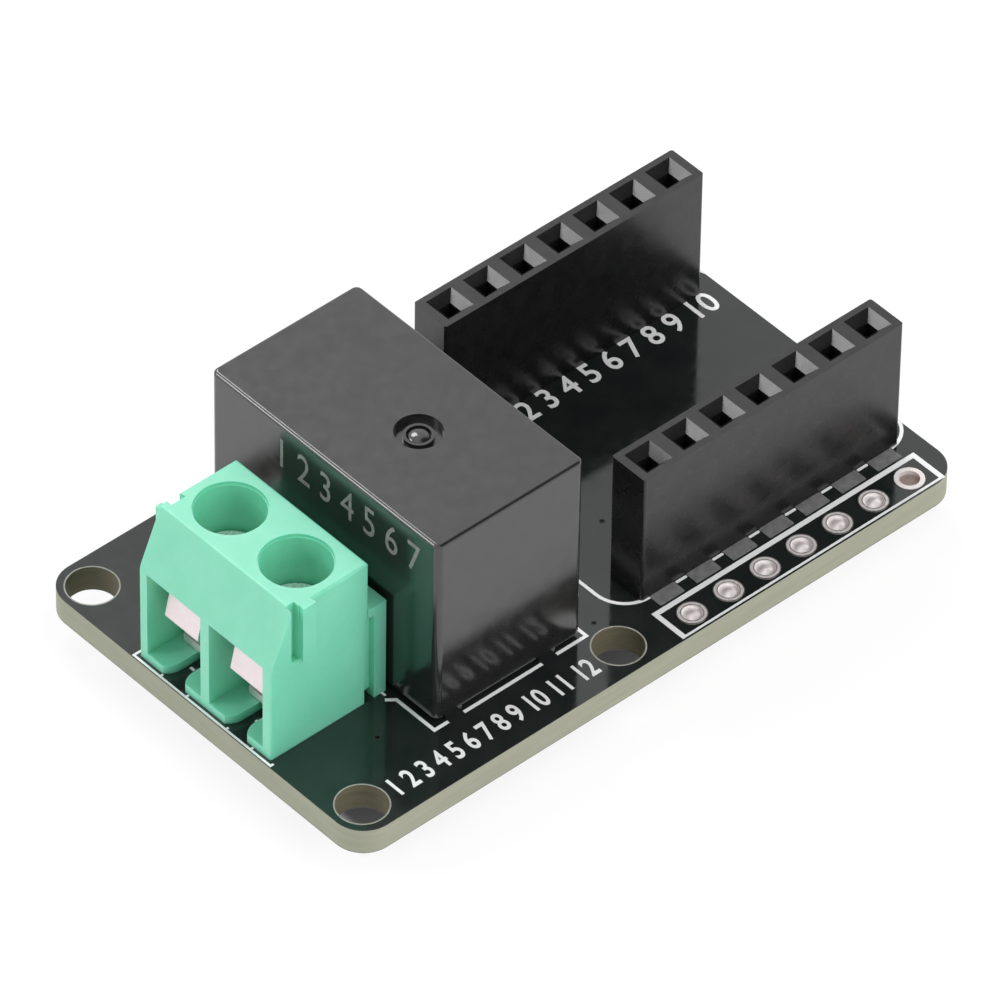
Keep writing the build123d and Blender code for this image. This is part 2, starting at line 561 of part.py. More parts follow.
def terminal_cage(y):
    """Folded frame that the screw lifts: threaded roof, ribbed floor with a lip to the front."""
    half = CAGE_WIDTH / 2
    low, high = CAGE_BOTTOM, CAGE_BOTTOM + CAGE_HEIGHT
    middle_z = (low + high) / 2
    inner_low, inner_high = low + CAGE_FLOOR, high - CAGE_TOP
    ring = Pos(0, middle_z) * RectangleRounded(CAGE_WIDTH, CAGE_HEIGHT, CAGE_CORNER_R)
    opening = Rectangle(CAGE_WIDTH - 2 * CAGE_SIDE, inner_high - inner_low)
    ring -= Pos(0, (inner_low + inner_high) / 2) * opening
    cage = Pos(CAGE_START, 0, 0) * extrude(Plane.YZ * ring, CAGE_LENGTH)
    lip = CAGE_START - CAGE_LIP
    cage += block((lip, CAGE_START), (-half + CAGE_CORNER_R, half - CAGE_CORNER_R), (low, inner_low))
    cage -= Pos(SCREW_HOLE_INSET, 0, 0) * upright(SCREW_SHANK_R + THREAD_CLEARANCE, inner_high - 1, high + 1)
    notch = side_outline((0, inner_low), (RIB_PITCH / 2, inner_low - RIB_DEPTH), (RIB_PITCH, inner_low))
    groove = along_y(notch, 2 * (half - CAGE_SIDE))
    for i in range(RIB_COUNT):
        cage -= Pos(lip + (i + 0.5) * RIB_PITCH, 0, 0) * groove
    return Pos(TERMINAL_X, y, BOARD_TOP) * cage


def terminal_bar(y):
    """Bent strip: apron behind the mouth, ramp, flat bar through the cage, tail through the board."""
    front, rear = BAR_TAIL_FRONT, BAR_TAIL_BACK
    apron_low = BAR_BOTTOM + APRON_RISE
    ramp_end = CAGE_START - CAGE_LIP - RAMP_LIP_GAP
    outer, inner = bent_sheet([(APRON_INSET + APRON_LEAN, apron_low + APRON_HEIGHT), (APRON_INSET, apron_low),
                               (ramp_end, BAR_BOTTOM), (front, BAR_BOTTOM), (front, 0)], BAR_SHEET)
    strip = along_y(side_outline(*outer, *reversed(inner)), BAR_WIDTH)
    corners = outer[1:-1] + inner[1:-1]
    bends = [e for e in strip.edges().filter_by(Axis.Y)
             if any(abs(e.center().X - x) + abs(e.center().Z - z) < 0.01 for x, z in corners)]
    strip = fillet(bends, BAR_BEND_R)
    tail = BAR_TAIL_WIDTH / 2
    for hand in (-1, 1):
        beside = sorted((hand * tail, hand * BAR_WIDTH))
        strip -= block((front - 1, rear + 1), beside, (-1, TERMINAL_FLOOR + BAR_TAIL_GAP))
    strip += block((front, rear), (-tail, tail), (TAIL_END, 0))
    return Pos(TERMINAL_X, y, BOARD_TOP) * strip


def relay_cover():
    """Moulded cap with a vent recess, raised on small feet."""
    half_y = RELAY_LENGTH / 2
    shell = Pos(0, 0, RELAY_STANDOFF) * extrude(RectangleRounded(RELAY_WIDTH, RELAY_LENGTH, RELAY_CORNER_R),
                                                RELAY_HEIGHT - RELAY_STANDOFF)
    shell = fillet(shell.faces().sort_by(Axis.Z)[-1].edges(), RELAY_TOP_R)
    inner = Rectangle(RELAY_WIDTH - 2 * RELAY_WALL, RELAY_LENGTH - 2 * RELAY_WALL)
    shell -= Pos(0, 0, RELAY_STANDOFF) * extrude(inner, RELAY_HEIGHT - RELAY_STANDOFF - RELAY_ROOF)
    for side in (-1, 1):
        wall = sorted((side * (half_y - RELAY_WALL), side * half_y))
        for x in (-RELAY_FOOT_NEAR, RELAY_FOOT_FAR):
            shell += block((x - RELAY_FOOT_WIDTH / 2, x + RELAY_FOOT_WIDTH / 2), wall, (0, RELAY_STANDOFF))
    vent = Pos(0, -VENT_OFFSET, 0)
    floor = RELAY_HEIGHT - VENT_DEPTH
    shell -= vent * upright(VENT_R, floor, RELAY_HEIGHT + 1)
    shell += vent * (upright(VENT_RING_R, floor, floor + VENT_RING_HEIGHT)
                     - upright(VENT_RING_R - VENT_RING_WALL, floor, floor + VENT_RING_HEIGHT))
    shell += vent * upright(VENT_NUB_R, floor, floor + VENT_NUB_HEIGHT)
    return Pos(RELAY_X, 0, BOARD_TOP) * shell


def relay_base():
    """Moulded floor that closes the cover, with a tower behind the fixed contact."""
    half_x, half_y = BASE_WIDTH / 2, BASE_LENGTH / 2
    base = block((-half_x, half_x), (-half_y, half_y), (BASE_BOTTOM, BASE_TOP))
    tower_back = FIXED_BACK + FIXED_SHEET
    base += block((-TOWER_WIDTH / 2, TOWER_WIDTH / 2), (tower_back, tower_back + TOWER_DEPTH),
                  (BASE_TOP, TOWER_TOP))
    for x, y, width, depth in relay_tails().values():
        w, d = width / 2 + RELAY_PIN_CLEARANCE, depth / 2 + RELAY_PIN_CLEARANCE
        base -= block((x - w, x + w), (y - d, y + d), (BASE_BOTTOM - 1, BASE_TOP))
    return Pos(RELAY_X, 0, BOARD_TOP) * base


def relay_yoke():
    """Folded iron frame: a leg under the coil and an upright that carries the armature."""
    edge = ARMATURE_BOTTOM - HINGE_GAP
    leg_and_back = cross_outline((LEG_END, BASE_TOP), (YOKE_BACK, BASE_TOP), (YOKE_BACK, edge),
                                 (YOKE_FACE, edge), (YOKE_FACE, LEG_TOP), (LEG_END, LEG_TOP))
    yoke = extrude(leg_and_back, YOKE_WIDTH / 2, both=True)
    corner = [e for e in yoke.edges().filter_by(Axis.X)
              if e.center().Z < BASE_TOP + 0.01 and e.center().Y > YOKE_BACK - 0.01]
    yoke = fillet(corner, YOKE_SHEET / 2)
    yoke -= Pos(0, COIL_Y, 0) * upright(CORE_R, BASE_TOP - 1, LEG_TOP + 1)
    return Pos(RELAY_X, 0, BOARD_TOP) * yoke


def relay_core():
    """Turned iron pin, riveted in the yoke, with the pole face on top."""
    core = turned((0, BASE_TOP), (CORE_R, BASE_TOP), (CORE_R, BOBBIN_TOP), (POLE_R, BOBBIN_TOP),
                  (POLE_R, POLE_FACE), (0, POLE_FACE))
    return Pos(RELAY_X, COIL_Y, BOARD_TOP) * core


def relay_bobbin():
    """Two flanges on a hollow hub, with holes for the coil pins."""
    flange = RectangleRounded(BOBBIN_WIDTH, BOBBIN_LENGTH, BOBBIN_CORNER_R)
    bobbin = Pos(0, 0, LEG_TOP) * extrude(flange, BOBBIN_FLANGE)
    bobbin += Pos(0, 0, WINDING_TOP) * extrude(flange, BOBBIN_FLANGE)
    bobbin += upright(HUB_R, WINDING_BOTTOM, WINDING_TOP)
    bobbin -= upright(CORE_R + COIL_FIT, LEG_TOP - 1, BOBBIN_TOP + 1)
    pin = COIL_PIN_SIZE / 2 + RELAY_PIN_CLEARANCE
    for x in (-COIL_PIN_SIDE, COIL_PIN_SIDE):
        y = COIL_PIN_Y - COIL_Y
        bobbin -= block((x - pin, x + pin), (y - pin, y + pin), (LEG_TOP - 1, WINDING_BOTTOM + COIL_PIN_HOLD))
    return Pos(RELAY_X, COIL_Y, BOARD_TOP) * bobbin


def relay_winding():
    """Copper winding as one sleeve between the flanges."""
    low, high = WINDING_BOTTOM + COIL_FIT, WINDING_TOP - COIL_FIT
    sleeve = upright(WINDING_R, low, high) - upright(HUB_R + COIL_FIT, low, high)
    return Pos(RELAY_X, COIL_Y, BOARD_TOP) * sleeve


def relay_coil_pin(name):
    """Square pin from the bobbin's lower flange down through base and board."""
    x, y, width, depth = relay_tails()[name]
    pin = block((-width / 2, width / 2), (-depth / 2, depth / 2), (TAIL_END, WINDING_BOTTOM))
    return Pos(RELAY_X + x, y, BOARD_TOP) * pin


def relay_common_terminal():
    """Strip joined to the end of the yoke, with its tail through the board."""
    x, y, width, depth = relay_tails()["relay_common_terminal"]
    strip = block((-COMMON_WIDTH / 2, COMMON_WIDTH / 2), (-depth / 2, depth / 2), (BASE_TOP, LEG_TOP))
    strip += block((-width / 2, width / 2), (-depth / 2, depth / 2), (TAIL_END, BASE_TOP))
    return Pos(RELAY_X + x, y, BOARD_TOP) * strip


def relay_fixed_terminal():
    """Angle strip whose shelf carries the fixed contact."""
    x, y, width, depth = relay_tails()["relay_fixed_terminal"]
    shelf_end = FIXED_BACK + FIXED_SHELF
    angle = extrude(cross_outline((FIXED_BACK, BASE_TOP), (FIXED_BACK + FIXED_SHEET, BASE_TOP),
                                  (FIXED_BACK + FIXED_SHEET, FIXED_SHELF_TOP - FIXED_SHEET),
                                  (shelf_end, FIXED_SHELF_TOP - FIXED_SHEET), (shelf_end, FIXED_SHELF_TOP),
                                  (FIXED_BACK, FIXED_SHELF_TOP)), FIXED_WIDTH / 2, both=True)
    angle -= Pos(0, CONTACT_Y, 0) * upright(CONTACT_NECK_R, FIXED_SHELF_TOP - FIXED_SHEET, FIXED_SHELF_TOP)
    angle += block((-width / 2, width / 2), (FIXED_BACK, FIXED_BACK + FIXED_SHEET), (TAIL_END, BASE_TOP))
    return Pos(RELAY_X, 0, BOARD_TOP) * angle


def relay_fixed_contact():
    """Button riveted in the shelf."""
    low = FIXED_SHELF_TOP - FIXED_SHEET
    button = turned((0, low), (CONTACT_NECK_R, low), (CONTACT_NECK_R, FIXED_SHELF_TOP),
                    (CONTACT_R, FIXED_SHELF_TOP), (CONTACT_R, FIXED_BUTTON_TOP), (0, FIXED_BUTTON_TOP))
    return Pos(RELAY_X, CONTACT_Y, BOARD_TOP) * button


def stud_places():
    """Where the two studs fasten the contact leaf to the armature."""
    y = YOKE_FACE - LEAF_ROOT_INSET
    return [(0, y), (0, y - STUD_SPACING)]


def relay_armature():
    """Flat iron lever that lies on the yoke's edge and drops to the pole face."""
    tip = COIL_Y - POLE_R - ARMATURE_OVERHANG
    plate = Pos(0, (tip + YOKE_BACK) / 2) * RectangleRounded(ARMATURE_WIDTH, YOKE_BACK - tip, STUD_R)
    armature = Pos(0, 0, ARMATURE_BOTTOM) * extrude(plate, ARMATURE_SHEET)
    for x, y in stud_places():
        armature -= Pos(x, y, 0) * upright(STUD_R, ARMATURE_BOTTOM, ARMATURE_TOP)
    return Pos(RELAY_X, 0, BOARD_TOP) * armature


def relay_contact_leaf():
    """Thin spring on the armature, narrower towards the moving contact."""
    root, tip = YOKE_FACE - STUD_R, CONTACT_Y - LEAF_TIP_REACH
    wide, narrow = LEAF_WIDTH / 2, LEAF_TIP_WIDTH / 2
    waist = COIL_Y - POLE_R - ARMATURE_OVERHANG
    shoulder = waist - wide + narrow
    outline = make_face(Polyline((-wide, root), (wide, root), (wide, waist), (narrow, shoulder), (narrow, tip),
                                 (-narrow, tip), (-narrow, shoulder), (-wide, waist), close=True))
    for x, y in stud_places():
        outline -= Pos(x, y) * Circle(STUD_R)
    outline -= Pos(0, CONTACT_Y) * Circle(CONTACT_NECK_R)
    return Pos(RELAY_X, 0, BOARD_TOP + ARMATURE_TOP) * extrude(outline, LEAF_SHEET)


def relay_leaf_studs():
    """Two rivets that hold the leaf on the armature."""
    leaf_top = ARMATURE_TOP + LEAF_SHEET
    head_top = leaf_top + STUD_HEAD_HEIGHT
    stud = turned((0, ARMATURE_BOTTOM), (STUD_R, ARMATURE_BOTTOM), (STUD_R, leaf_top),
                  (STUD_HEAD_R, leaf_top), (STUD_HEAD_R, head_top), (0, head_top))
    return [Pos(RELAY_X + x, y, BOARD_TOP) * stud for x, y in stud_places()]


def relay_moving_contact():
    """Button riveted through the leaf's tip."""
    leaf_top = ARMATURE_TOP + LEAF_SHEET
    button = turned((0, MOVING_CONTACT_BOTTOM), (CONTACT_R, MOVING_CONTACT_BOTTOM), (CONTACT_R, ARMATURE_TOP),
                    (CONTACT_NECK_R, ARMATURE_TOP), (CONTACT_NECK_R, leaf_top), (CONTACT_R, leaf_top),
                    (CONTACT_R, leaf_top + CONTACT_HEAD_HEIGHT), (0, leaf_top + CONTACT_HEAD_HEIGHT))
    return Pos(RELAY_X, CONTACT_Y, BOARD_TOP) * button


def package_body(length, width, height):
    """Moulded package hanging under the board, drafted from its middle."""
    low, high = BOARD_BOTTOM - PACKAGE_LIFT - height, BOARD_BOTTOM - PACKAGE_LIFT
    middle = (low + high) / 2
    full = Pos(0, 0, middle) * Rectangle(length, width)
    small = Rectangle(length - 2 * PACKAGE_DRAFT, width - 2 * PACKAGE_DRAFT)
    return loft([Pos(0, 0, low) * small, full]) + loft([full, Pos(0, 0, high) * small])


def gull_lead(start, reach, sheet, width, height):
    """Formed lead from a package's side (at X = start) down to its pad on the board."""
    top = BOARD_BOTTOM
    exit_z = top - PACKAGE_LIFT - height / 2
    bend, end = start + reach / 2, start + reach
    face = side_outline((start, exit_z - sheet), (bend, exit_z - sheet), (bend, top - sheet),
                        (end, top - sheet), (end, top), (bend - sheet, top), (bend - sheet, exit_z),
                        (start, exit_z))
    return along_y(face, width)


def driver_transistor():
    package = package_body(TRANSISTOR_WIDTH, TRANSISTOR_LENGTH, TRANSISTOR_HEIGHT)
    return Pos(DRIVER_X, TRANSISTOR_Y, 0) * package


def driver_transistor_leads():
    """One lead on one side and two on the other."""
    lead = gull_lead(TRANSISTOR_WIDTH / 2, TRANSISTOR_LEAD_REACH, TRANSISTOR_LEAD_SHEET,
                     TRANSISTOR_LEAD_WIDTH, TRANSISTOR_HEIGHT)
    half = TRANSISTOR_LEAD_SPACING / 2
    pair = [Pos(DRIVER_X, TRANSISTOR_Y + side * half, 0) * lead for side in (-1, 1)]
    return [Pos(DRIVER_X, TRANSISTOR_Y, 0) * Rot(0, 0, 180) * lead] + pair


def flyback_diode():
    return Pos(DRIVER_X, DIODE_Y, 0) * package_body(DIODE_LENGTH, DIODE_WIDTH, DIODE_HEIGHT)


def flyback_diode_leads():
    """One lead at each end."""
    lead = gull_lead(DIODE_LENGTH / 2, DIODE_LEAD_REACH, DIODE_LEAD_SHEET, DIODE_LEAD_WIDTH, DIODE_HEIGHT)
    return [Pos(DRIVER_X, DIODE_Y, 0) * Rot(0, 0, turn) * lead for turn in (0, 180)]


def chip_resistor(y):
    """Ceramic chip between its two end caps."""
    half = CHIP_LENGTH / 2 - CHIP_CAP_SHEET
    low, high = BOARD_BOTTOM - CHIP_HEIGHT, BOARD_BOTTOM - CHIP_CAP_SHEET
    width = (-CHIP_WIDTH / 2, CHIP_WIDTH / 2)
    return Pos(DRIVER_X, y, 0) * block((-half, half), width, (low + CHIP_CAP_SHEET, high))


def chip_end_caps():
    """Tinned caps folded over both ends of both chips."""
    caps = []
    for y in (BASE_RESISTOR_Y, BLEED_RESISTOR_Y):
        for side in (-1, 1):
            span = sorted((side * CHIP_LENGTH / 2, side * (CHIP_LENGTH / 2 - CHIP_CAP_LENGTH)))
            cap = Pos(DRIVER_X, y, 0) * block(span, (-CHIP_WIDTH / 2, CHIP_WIDTH / 2),
                                              (BOARD_BOTTOM - CHIP_HEIGHT, BOARD_BOTTOM))
            caps.append(cap - chip_resistor(y))
    return caps


def module_nodes():
    """Every piece of the module by the name of its node."""
    places = tail_places()
    nodes = {"circuit_board": circuit_board(), "front_edge_plating": edge_plating(-1),
             "rear_edge_plating": edge_plating(1), "front_edge_solder": edge_solder()}
    for name, group in places.items():
        nodes[name] = solder_cones(group)
    for row, side in (("front", -1), ("rear", 1)):
        nodes[f"{row}_socket_strip"] = socket_strip(side)
        for i, x in enumerate(socket_places(), 1):
            nodes[f"{row}_socket_contact_{i}"] = socket_contact(x, side)
    nodes["terminal_housing"] = terminal_housing()
    for hand, y in zip(("left", "right"), POLE_Y):
        nodes[f"terminal_screw_{hand}"] = terminal_screw(y)
        nodes[f"terminal_cage_{hand}"] = terminal_cage(y)
        nodes[f"terminal_bar_{hand}"] = terminal_bar(y)
    nodes["relay_cover"] = relay_cover()
    nodes["relay_base"] = relay_base()
    nodes["relay_yoke"] = relay_yoke()
    nodes["relay_core"] = relay_core()
    nodes["relay_bobbin"] = relay_bobbin()
    nodes["relay_winding"] = relay_winding()
    for name in ("relay_coil_pin_left", "relay_coil_pin_right"):
        nodes[name] = relay_coil_pin(name)
    nodes["relay_common_terminal"] = relay_common_terminal()
    nodes["relay_fixed_terminal"] = relay_fixed_terminal()
    nodes["relay_fixed_contact"] = relay_fixed_contact()
    nodes["relay_armature"] = relay_armature()
    nodes["relay_contact_leaf"] = relay_contact_leaf()
    nodes["relay_leaf_studs"] = relay_leaf_studs()
    nodes["relay_moving_contact"] = relay_moving_contact()
    nodes["driver_transistor"] = driver_transistor()
    nodes["driver_transistor_leads"] = driver_transistor_leads()
    nodes["flyback_diode"] = flyback_diode()
    nodes["flyback_diode_leads"] = flyback_diode_leads()
    nodes["base_resistor"] = chip_resistor(BASE_RESISTOR_Y)
    nodes["bleed_resistor"] = chip_resistor(BLEED_RESISTOR_Y)
    nodes["chip_end_caps"] = chip_end_caps()
    return nodes


os.makedirs("parts", exist_ok=True)
for name, shape in module_nodes().items():
    solids = shape if isinstance(shape, list) else [shape]
    whole = Compound(children=[s for piece in solids for s in piece.solids()]) if len(solids) > 1 else shape
    export_step(whole, f"parts/{name}.step")
    box = whole.bounding_box()
    print(f"{name}: {len(whole.solids())} solids, {box.size.X:.2f} x {box.size.Y:.2f} x {box.size.Z:.2f}")
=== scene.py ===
# %% [markdown]
# # A relay module board, dressed for rendering
#
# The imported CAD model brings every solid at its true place: board, relay, screw terminal, socket
# strips and all that is inside them. This script adds what a drawing of solids leaves out. That is
# the white print, the solder pads, the thin rims, and the finish of each surface.

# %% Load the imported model
import json
import math

import bmesh
import bpy
from mathutils import Matrix, Vector


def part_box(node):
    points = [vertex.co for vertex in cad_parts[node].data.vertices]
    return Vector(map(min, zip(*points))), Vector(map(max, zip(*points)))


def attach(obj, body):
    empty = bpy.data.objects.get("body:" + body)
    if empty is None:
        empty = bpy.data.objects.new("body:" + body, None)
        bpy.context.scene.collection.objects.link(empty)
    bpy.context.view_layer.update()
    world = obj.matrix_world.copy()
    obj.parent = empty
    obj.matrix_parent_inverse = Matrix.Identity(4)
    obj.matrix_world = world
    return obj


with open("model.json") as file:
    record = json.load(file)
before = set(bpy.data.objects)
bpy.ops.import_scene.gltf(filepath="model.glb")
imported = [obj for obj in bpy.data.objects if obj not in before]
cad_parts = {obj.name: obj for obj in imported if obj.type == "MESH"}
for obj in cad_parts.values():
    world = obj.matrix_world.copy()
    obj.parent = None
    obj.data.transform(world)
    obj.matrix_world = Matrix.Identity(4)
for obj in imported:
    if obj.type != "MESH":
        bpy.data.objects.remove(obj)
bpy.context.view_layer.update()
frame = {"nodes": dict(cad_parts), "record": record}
nodes = frame["nodes"]
MM = 0.001

# %% [markdown]
# ## Camera
#
# The picture was taken from above the terminal's corner with a long lens, so edges that are
# parallel on the board stay nearly parallel in it. The place and the lens were fitted to the
# sockets and the board's corners. The camera also leans a little to one side, which is its roll.

# %% Camera at the photograph's angle
CAMERA_PLACE = Vector((-308.26, -337.81, 440.38)) * MM
CAMERA_TURN, CAMERA_RISE, CAMERA_ROLL = -42.3518, 43.5942, 0.9166
CAMERA_LENS = 441.63


def camera_axes(turn, rise, roll):
    """Right, up and backward directions of a camera, from its angles in degrees."""
    a, e, r = (math.radians(v) for v in (turn, rise, roll))
    back = Vector((math.sin(a) * math.cos(e), -math.cos(a) * math.cos(e), math.sin(e)))
    level = Vector((math.cos(a), math.sin(a), 0))
    rise_axis = back.cross(level)
    right = math.cos(r) * level + math.sin(r) * rise_axis
    return right, math.cos(r) * rise_axis - math.sin(r) * level, back


lens = bpy.data.cameras.new("camera")
lens.lens = CAMERA_LENS
lens.clip_start, lens.clip_end = 0.01, 20
camera = bpy.data.objects.new("camera", lens)
camera.matrix_world = Matrix(camera_axes(CAMERA_TURN, CAMERA_RISE, CAMERA_ROLL)).transposed().to_4x4()
camera.location = CAMERA_PLACE
bpy.context.scene.collection.objects.link(camera)
bpy.context.scene.camera = camera
print("camera stands", round(CAMERA_PLACE.length, 3), "m from the board")

# %% [markdown]
# ## Shader nodes
#
# The tent, the floor and every finish are small node trees. These helpers build them: the first makes
# a node with its values and the outputs that feed it, the others are short names for common steps.

# %% Helpers for node trees
def node(tree, kind, sockets=None, feeds=None, **settings):
    """New shader node: its settings, the values of some sockets and the outputs that feed others."""
    made = tree.nodes.new("ShaderNode" + kind)
    for key, value in settings.items():
        setattr(made, key, value)
    for key, value in (sockets or {}).items():
        made.inputs[key].default_value = value
    for key, source in (feeds or {}).items():
        tree.links.new(source, made.inputs[key])
    return made


def reckon(tree, operation, *terms):
    """Result of a math node, its terms numbers or outputs."""
    made = node(tree, "Math", operation=operation)
    for slot, term in enumerate(terms):
        if isinstance(term, (int, float)):
            made.inputs[slot].default_value = term
        else:
            tree.links.new(term, made.inputs[slot])
    return made.outputs[0]


def ramp(tree, source, ends, values, shape="LINEAR"):
    """Maps a value from one range to another."""
    limits = {"From Min": ends[0], "From Max": ends[1], "To Min": values[0], "To Max": values[1]}
    return node(tree, "MapRange", limits, {"Value": source}, interpolation_type=shape).outputs["Result"]


def mixed(tree, factor, first, second, kind="RGBA"):
    """Blend of two values or outputs by a factor."""
    made = node(tree, "Mix", feeds={"Factor": factor}, data_type=kind)
    for key, value in (("A", first), ("B", second)):
        if isinstance(value, bpy.types.NodeSocket):
            tree.links.new(value, made.inputs[key])
        else:
            made.inputs[key].default_value = (*value, 1) if kind == "RGBA" else value
    return made.outputs["Result"]


def object_axes(tree):
    """X, Y and Z of the Object coordinates, as outputs."""
    place = node(tree, "TexCoord").outputs["Object"]
    return node(tree, "SeparateXYZ", feeds={"Vector": place}).outputs


def seen_ray(tree):
    """1 for rays from the camera, a reflection or glass, 0 for the light on the pieces."""
    path = node(tree, "LightPath").outputs
    seen = reckon(tree, "MAXIMUM", path["Is Camera Ray"], path["Is Glossy Ray"])
    return reckon(tree, "MAXIMUM", seen, path["Is Transmission Ray"])


# %% [markdown]
# ## Light, floor and surroundings
#
# The board was photographed in a white tent. Its black plastics are shiny, so most of what we see
# on them is the tent and the floor, mirrored and dimmed. The surroundings are therefore plain white
# for rays that come from the camera or from a reflection, and dimmer for the light that falls on
# the pieces. The tent is open towards the photographer: reflections show that opening as a dark
# patch, which blackens the slopes and rounded edges that face it.
#
# Two soft lamps, in front and above, lift the near sides and the print. A softbox behind, just
# outside the mirror of level faces, lays a silky light on the green plastic and the tin. Another
# one on the left lights up the far slopes of the socket mouths.

# %% Soft light
TENT_LIGHT, OPENING_LIGHT = 0.5, 0.06
OPENING_TOWARDS = Vector((0.45, -0.5, 0.74)).normalized()
OPENING_EDGE, OPENING_CORE = math.cos(math.radians(42)), math.cos(math.radians(24))
# Each lamp: name, place in metres, width in metres, watts, and whether reflections show it.
LAMPS = (("softbox_behind", (0.122, 0.391, 0.439), 0.2, 0.85, True),
         ("lamp_front", (0.15, -0.5, 0.3), 0.4, 1.65, False),
         ("lamp_above", (0.1, -0.22, 0.55), 0.4, 0.65, False),
         ("softbox_left", (-0.405, 0.314, 0.31), 0.25, 1.2, True))


def light_tent():
    """World that is white where it is seen, but for the dark opening in reflections."""
    tent = bpy.data.worlds.new("tent")
    tent.use_nodes = True
    tree = tent.node_tree
    walls = ramp(tree, seen_ray(tree), (0, 1), (TENT_LIGHT, 1))
    sky = node(tree, "TexCoord").outputs["Generated"]
    toward = node(tree, "VectorMath", {1: OPENING_TOWARDS}, {0: sky}, operation="DOT_PRODUCT")
    opening = ramp(tree, toward.outputs["Value"], (OPENING_EDGE, OPENING_CORE), (0, OPENING_LIGHT - 1),
                   "SMOOTHSTEP")
    glossy = node(tree, "LightPath").outputs["Is Glossy Ray"]
    background = tree.nodes["Background"]
    background.inputs["Color"].default_value = (1, 1, 1, 1)
    tree.links.new(reckon(tree, "MULTIPLY_ADD", opening, glossy, walls), background.inputs["Strength"])
    return tent


def soft_lamp(name, place, size, watts, mirrored):
    """Square lamp that looks at the board; reflections show it only if it is mirrored."""
    lamp = bpy.data.lights.new(name, "AREA")
    lamp.shape, lamp.size, lamp.energy = "SQUARE", size, watts
    item = bpy.data.objects.new(name, lamp)
    item.location = place
    item.rotation_euler = (-Vector(place)).to_track_quat("-Z", "Y").to_euler()
    bpy.context.scene.collection.objects.link(item)
    item.visible_glossy = mirrored


bpy.context.scene.world = light_tent()
bpy.context.scene.view_settings.view_transform = "Standard"
for lamp in LAMPS:
    soft_lamp(*lamp)

# %% [markdown]
# The floor is white paper. The light on the board comes back from it as from any pale paper, but in
# the picture it is nearly burnt out, with only a breath of shadow. So its colour for seen rays is
# mostly an even glow below a strength of 1, and a small share that the board can shade. Deep under
# the board a painted shadow puts the glow out. It follows the distance inside the board's outline,
# not the light that gets in. The front mounting holes look down on that dark paper, while the left
# one looks past the board's edge onto the white.

# %% Pale floor
FLOOR_REACH, FLOOR_DROP = 8.0, 0.01 * MM
PAPER_COLOUR, PAPER_ROUGHNESS = 0.84, 0.9
SEEN_SHARE, SEEN_GLOW, PAINTED_SHADOW_GLOW = 0.16, 0.857, 0.045
PAINTED_SHADOW_START, PAINTED_SHADOW_FULL = 1.3 * MM, 3.0 * MM


def depth_under(tree, low, high):
    """Distance inside the board's outline, seen from above, in metres."""
    axes = object_axes(tree)
    depths = []
    for axis in range(2):
        half = (high[axis] - low[axis]) / 2
        depths.append(reckon(tree, "SUBTRACT", half, reckon(tree, "ABSOLUTE", axes[axis])))
    return reckon(tree, "MINIMUM", *depths)


def floor_paper():
    """Paper that is plain for the light it sends back and almost burnt out where it is seen, with a
    painted shadow under the board.
    """
    paper = bpy.data.materials.new("floor_paper")
    paper.use_nodes = True
    tree = paper.node_tree
    shader = tree.nodes["Principled BSDF"]
    shader.inputs["Roughness"].default_value = PAPER_ROUGHNESS
    shader.inputs["Specular IOR Level"].default_value = 0.0
    shader.inputs["Emission Color"].default_value = (1, 1, 1, 1)
    seen = seen_ray(tree)
    tree.links.new(ramp(tree, seen, (0, 1), (PAPER_COLOUR, SEEN_SHARE)), shader.inputs["Base Color"])
    depth = depth_under(tree, *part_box("circuit_board"))
    # Painted shadow: the glow fades with the distance inside the board's outline, not with the light
    # that reaches the paper.
    shade = ramp(tree, depth, (PAINTED_SHADOW_START, PAINTED_SHADOW_FULL), (1, PAINTED_SHADOW_GLOW), "SMOOTHSTEP")
    glow = reckon(tree, "MULTIPLY", shade, ramp(tree, seen, (0, 1), (0, SEEN_GLOW)))
    tree.links.new(glow, shader.inputs["Emission Strength"])
    return paper


bm = bmesh.new()
bmesh.ops.create_grid(bm, x_segments=1, y_segments=1, size=FLOOR_REACH)
floor_mesh = bpy.data.meshes.new("floor")
bm.to_mesh(floor_mesh)
bm.free()
floor_mesh.materials.append(floor_paper())
floor = bpy.data.objects.new("floor", floor_mesh)
floor.location.z = -FLOOR_DROP
bpy.context.scene.collection.objects.link(floor)
print("floor half width, m:", FLOOR_REACH)

# %% [markdown]
# ## How the finishes are built
#
# Every finish is a Principled shader with a few layers of noise, read from Object coordinates.
# Those are metres here, so a noise scale of 5000 has lumps of about a fifth of a millimetre. One
# noise shifts the colour, a second the roughness, and a third gives the fine relief. The IOR, which
# is one value for the whole surface, sets how strongly a plastic mirrors.

# %% Finish builder
NOISE_ENDS = (0.35, 0.65)
GLOW_REACH = (0.3, 1.0, 0.6)


def grain(tree, scale, detail, stretch):
    """Noise in Object coordinates, stretched along the axes."""
    place = node(tree, "TexCoord").outputs["Object"]
    turned = node(tree, "Mapping", {"Scale": stretch}, {"Vector": place}).outputs["Vector"]
    return node(tree, "TexNoise", {"Scale": scale, "Detail": detail}, {"Vector": turned}).outputs["Fac"]


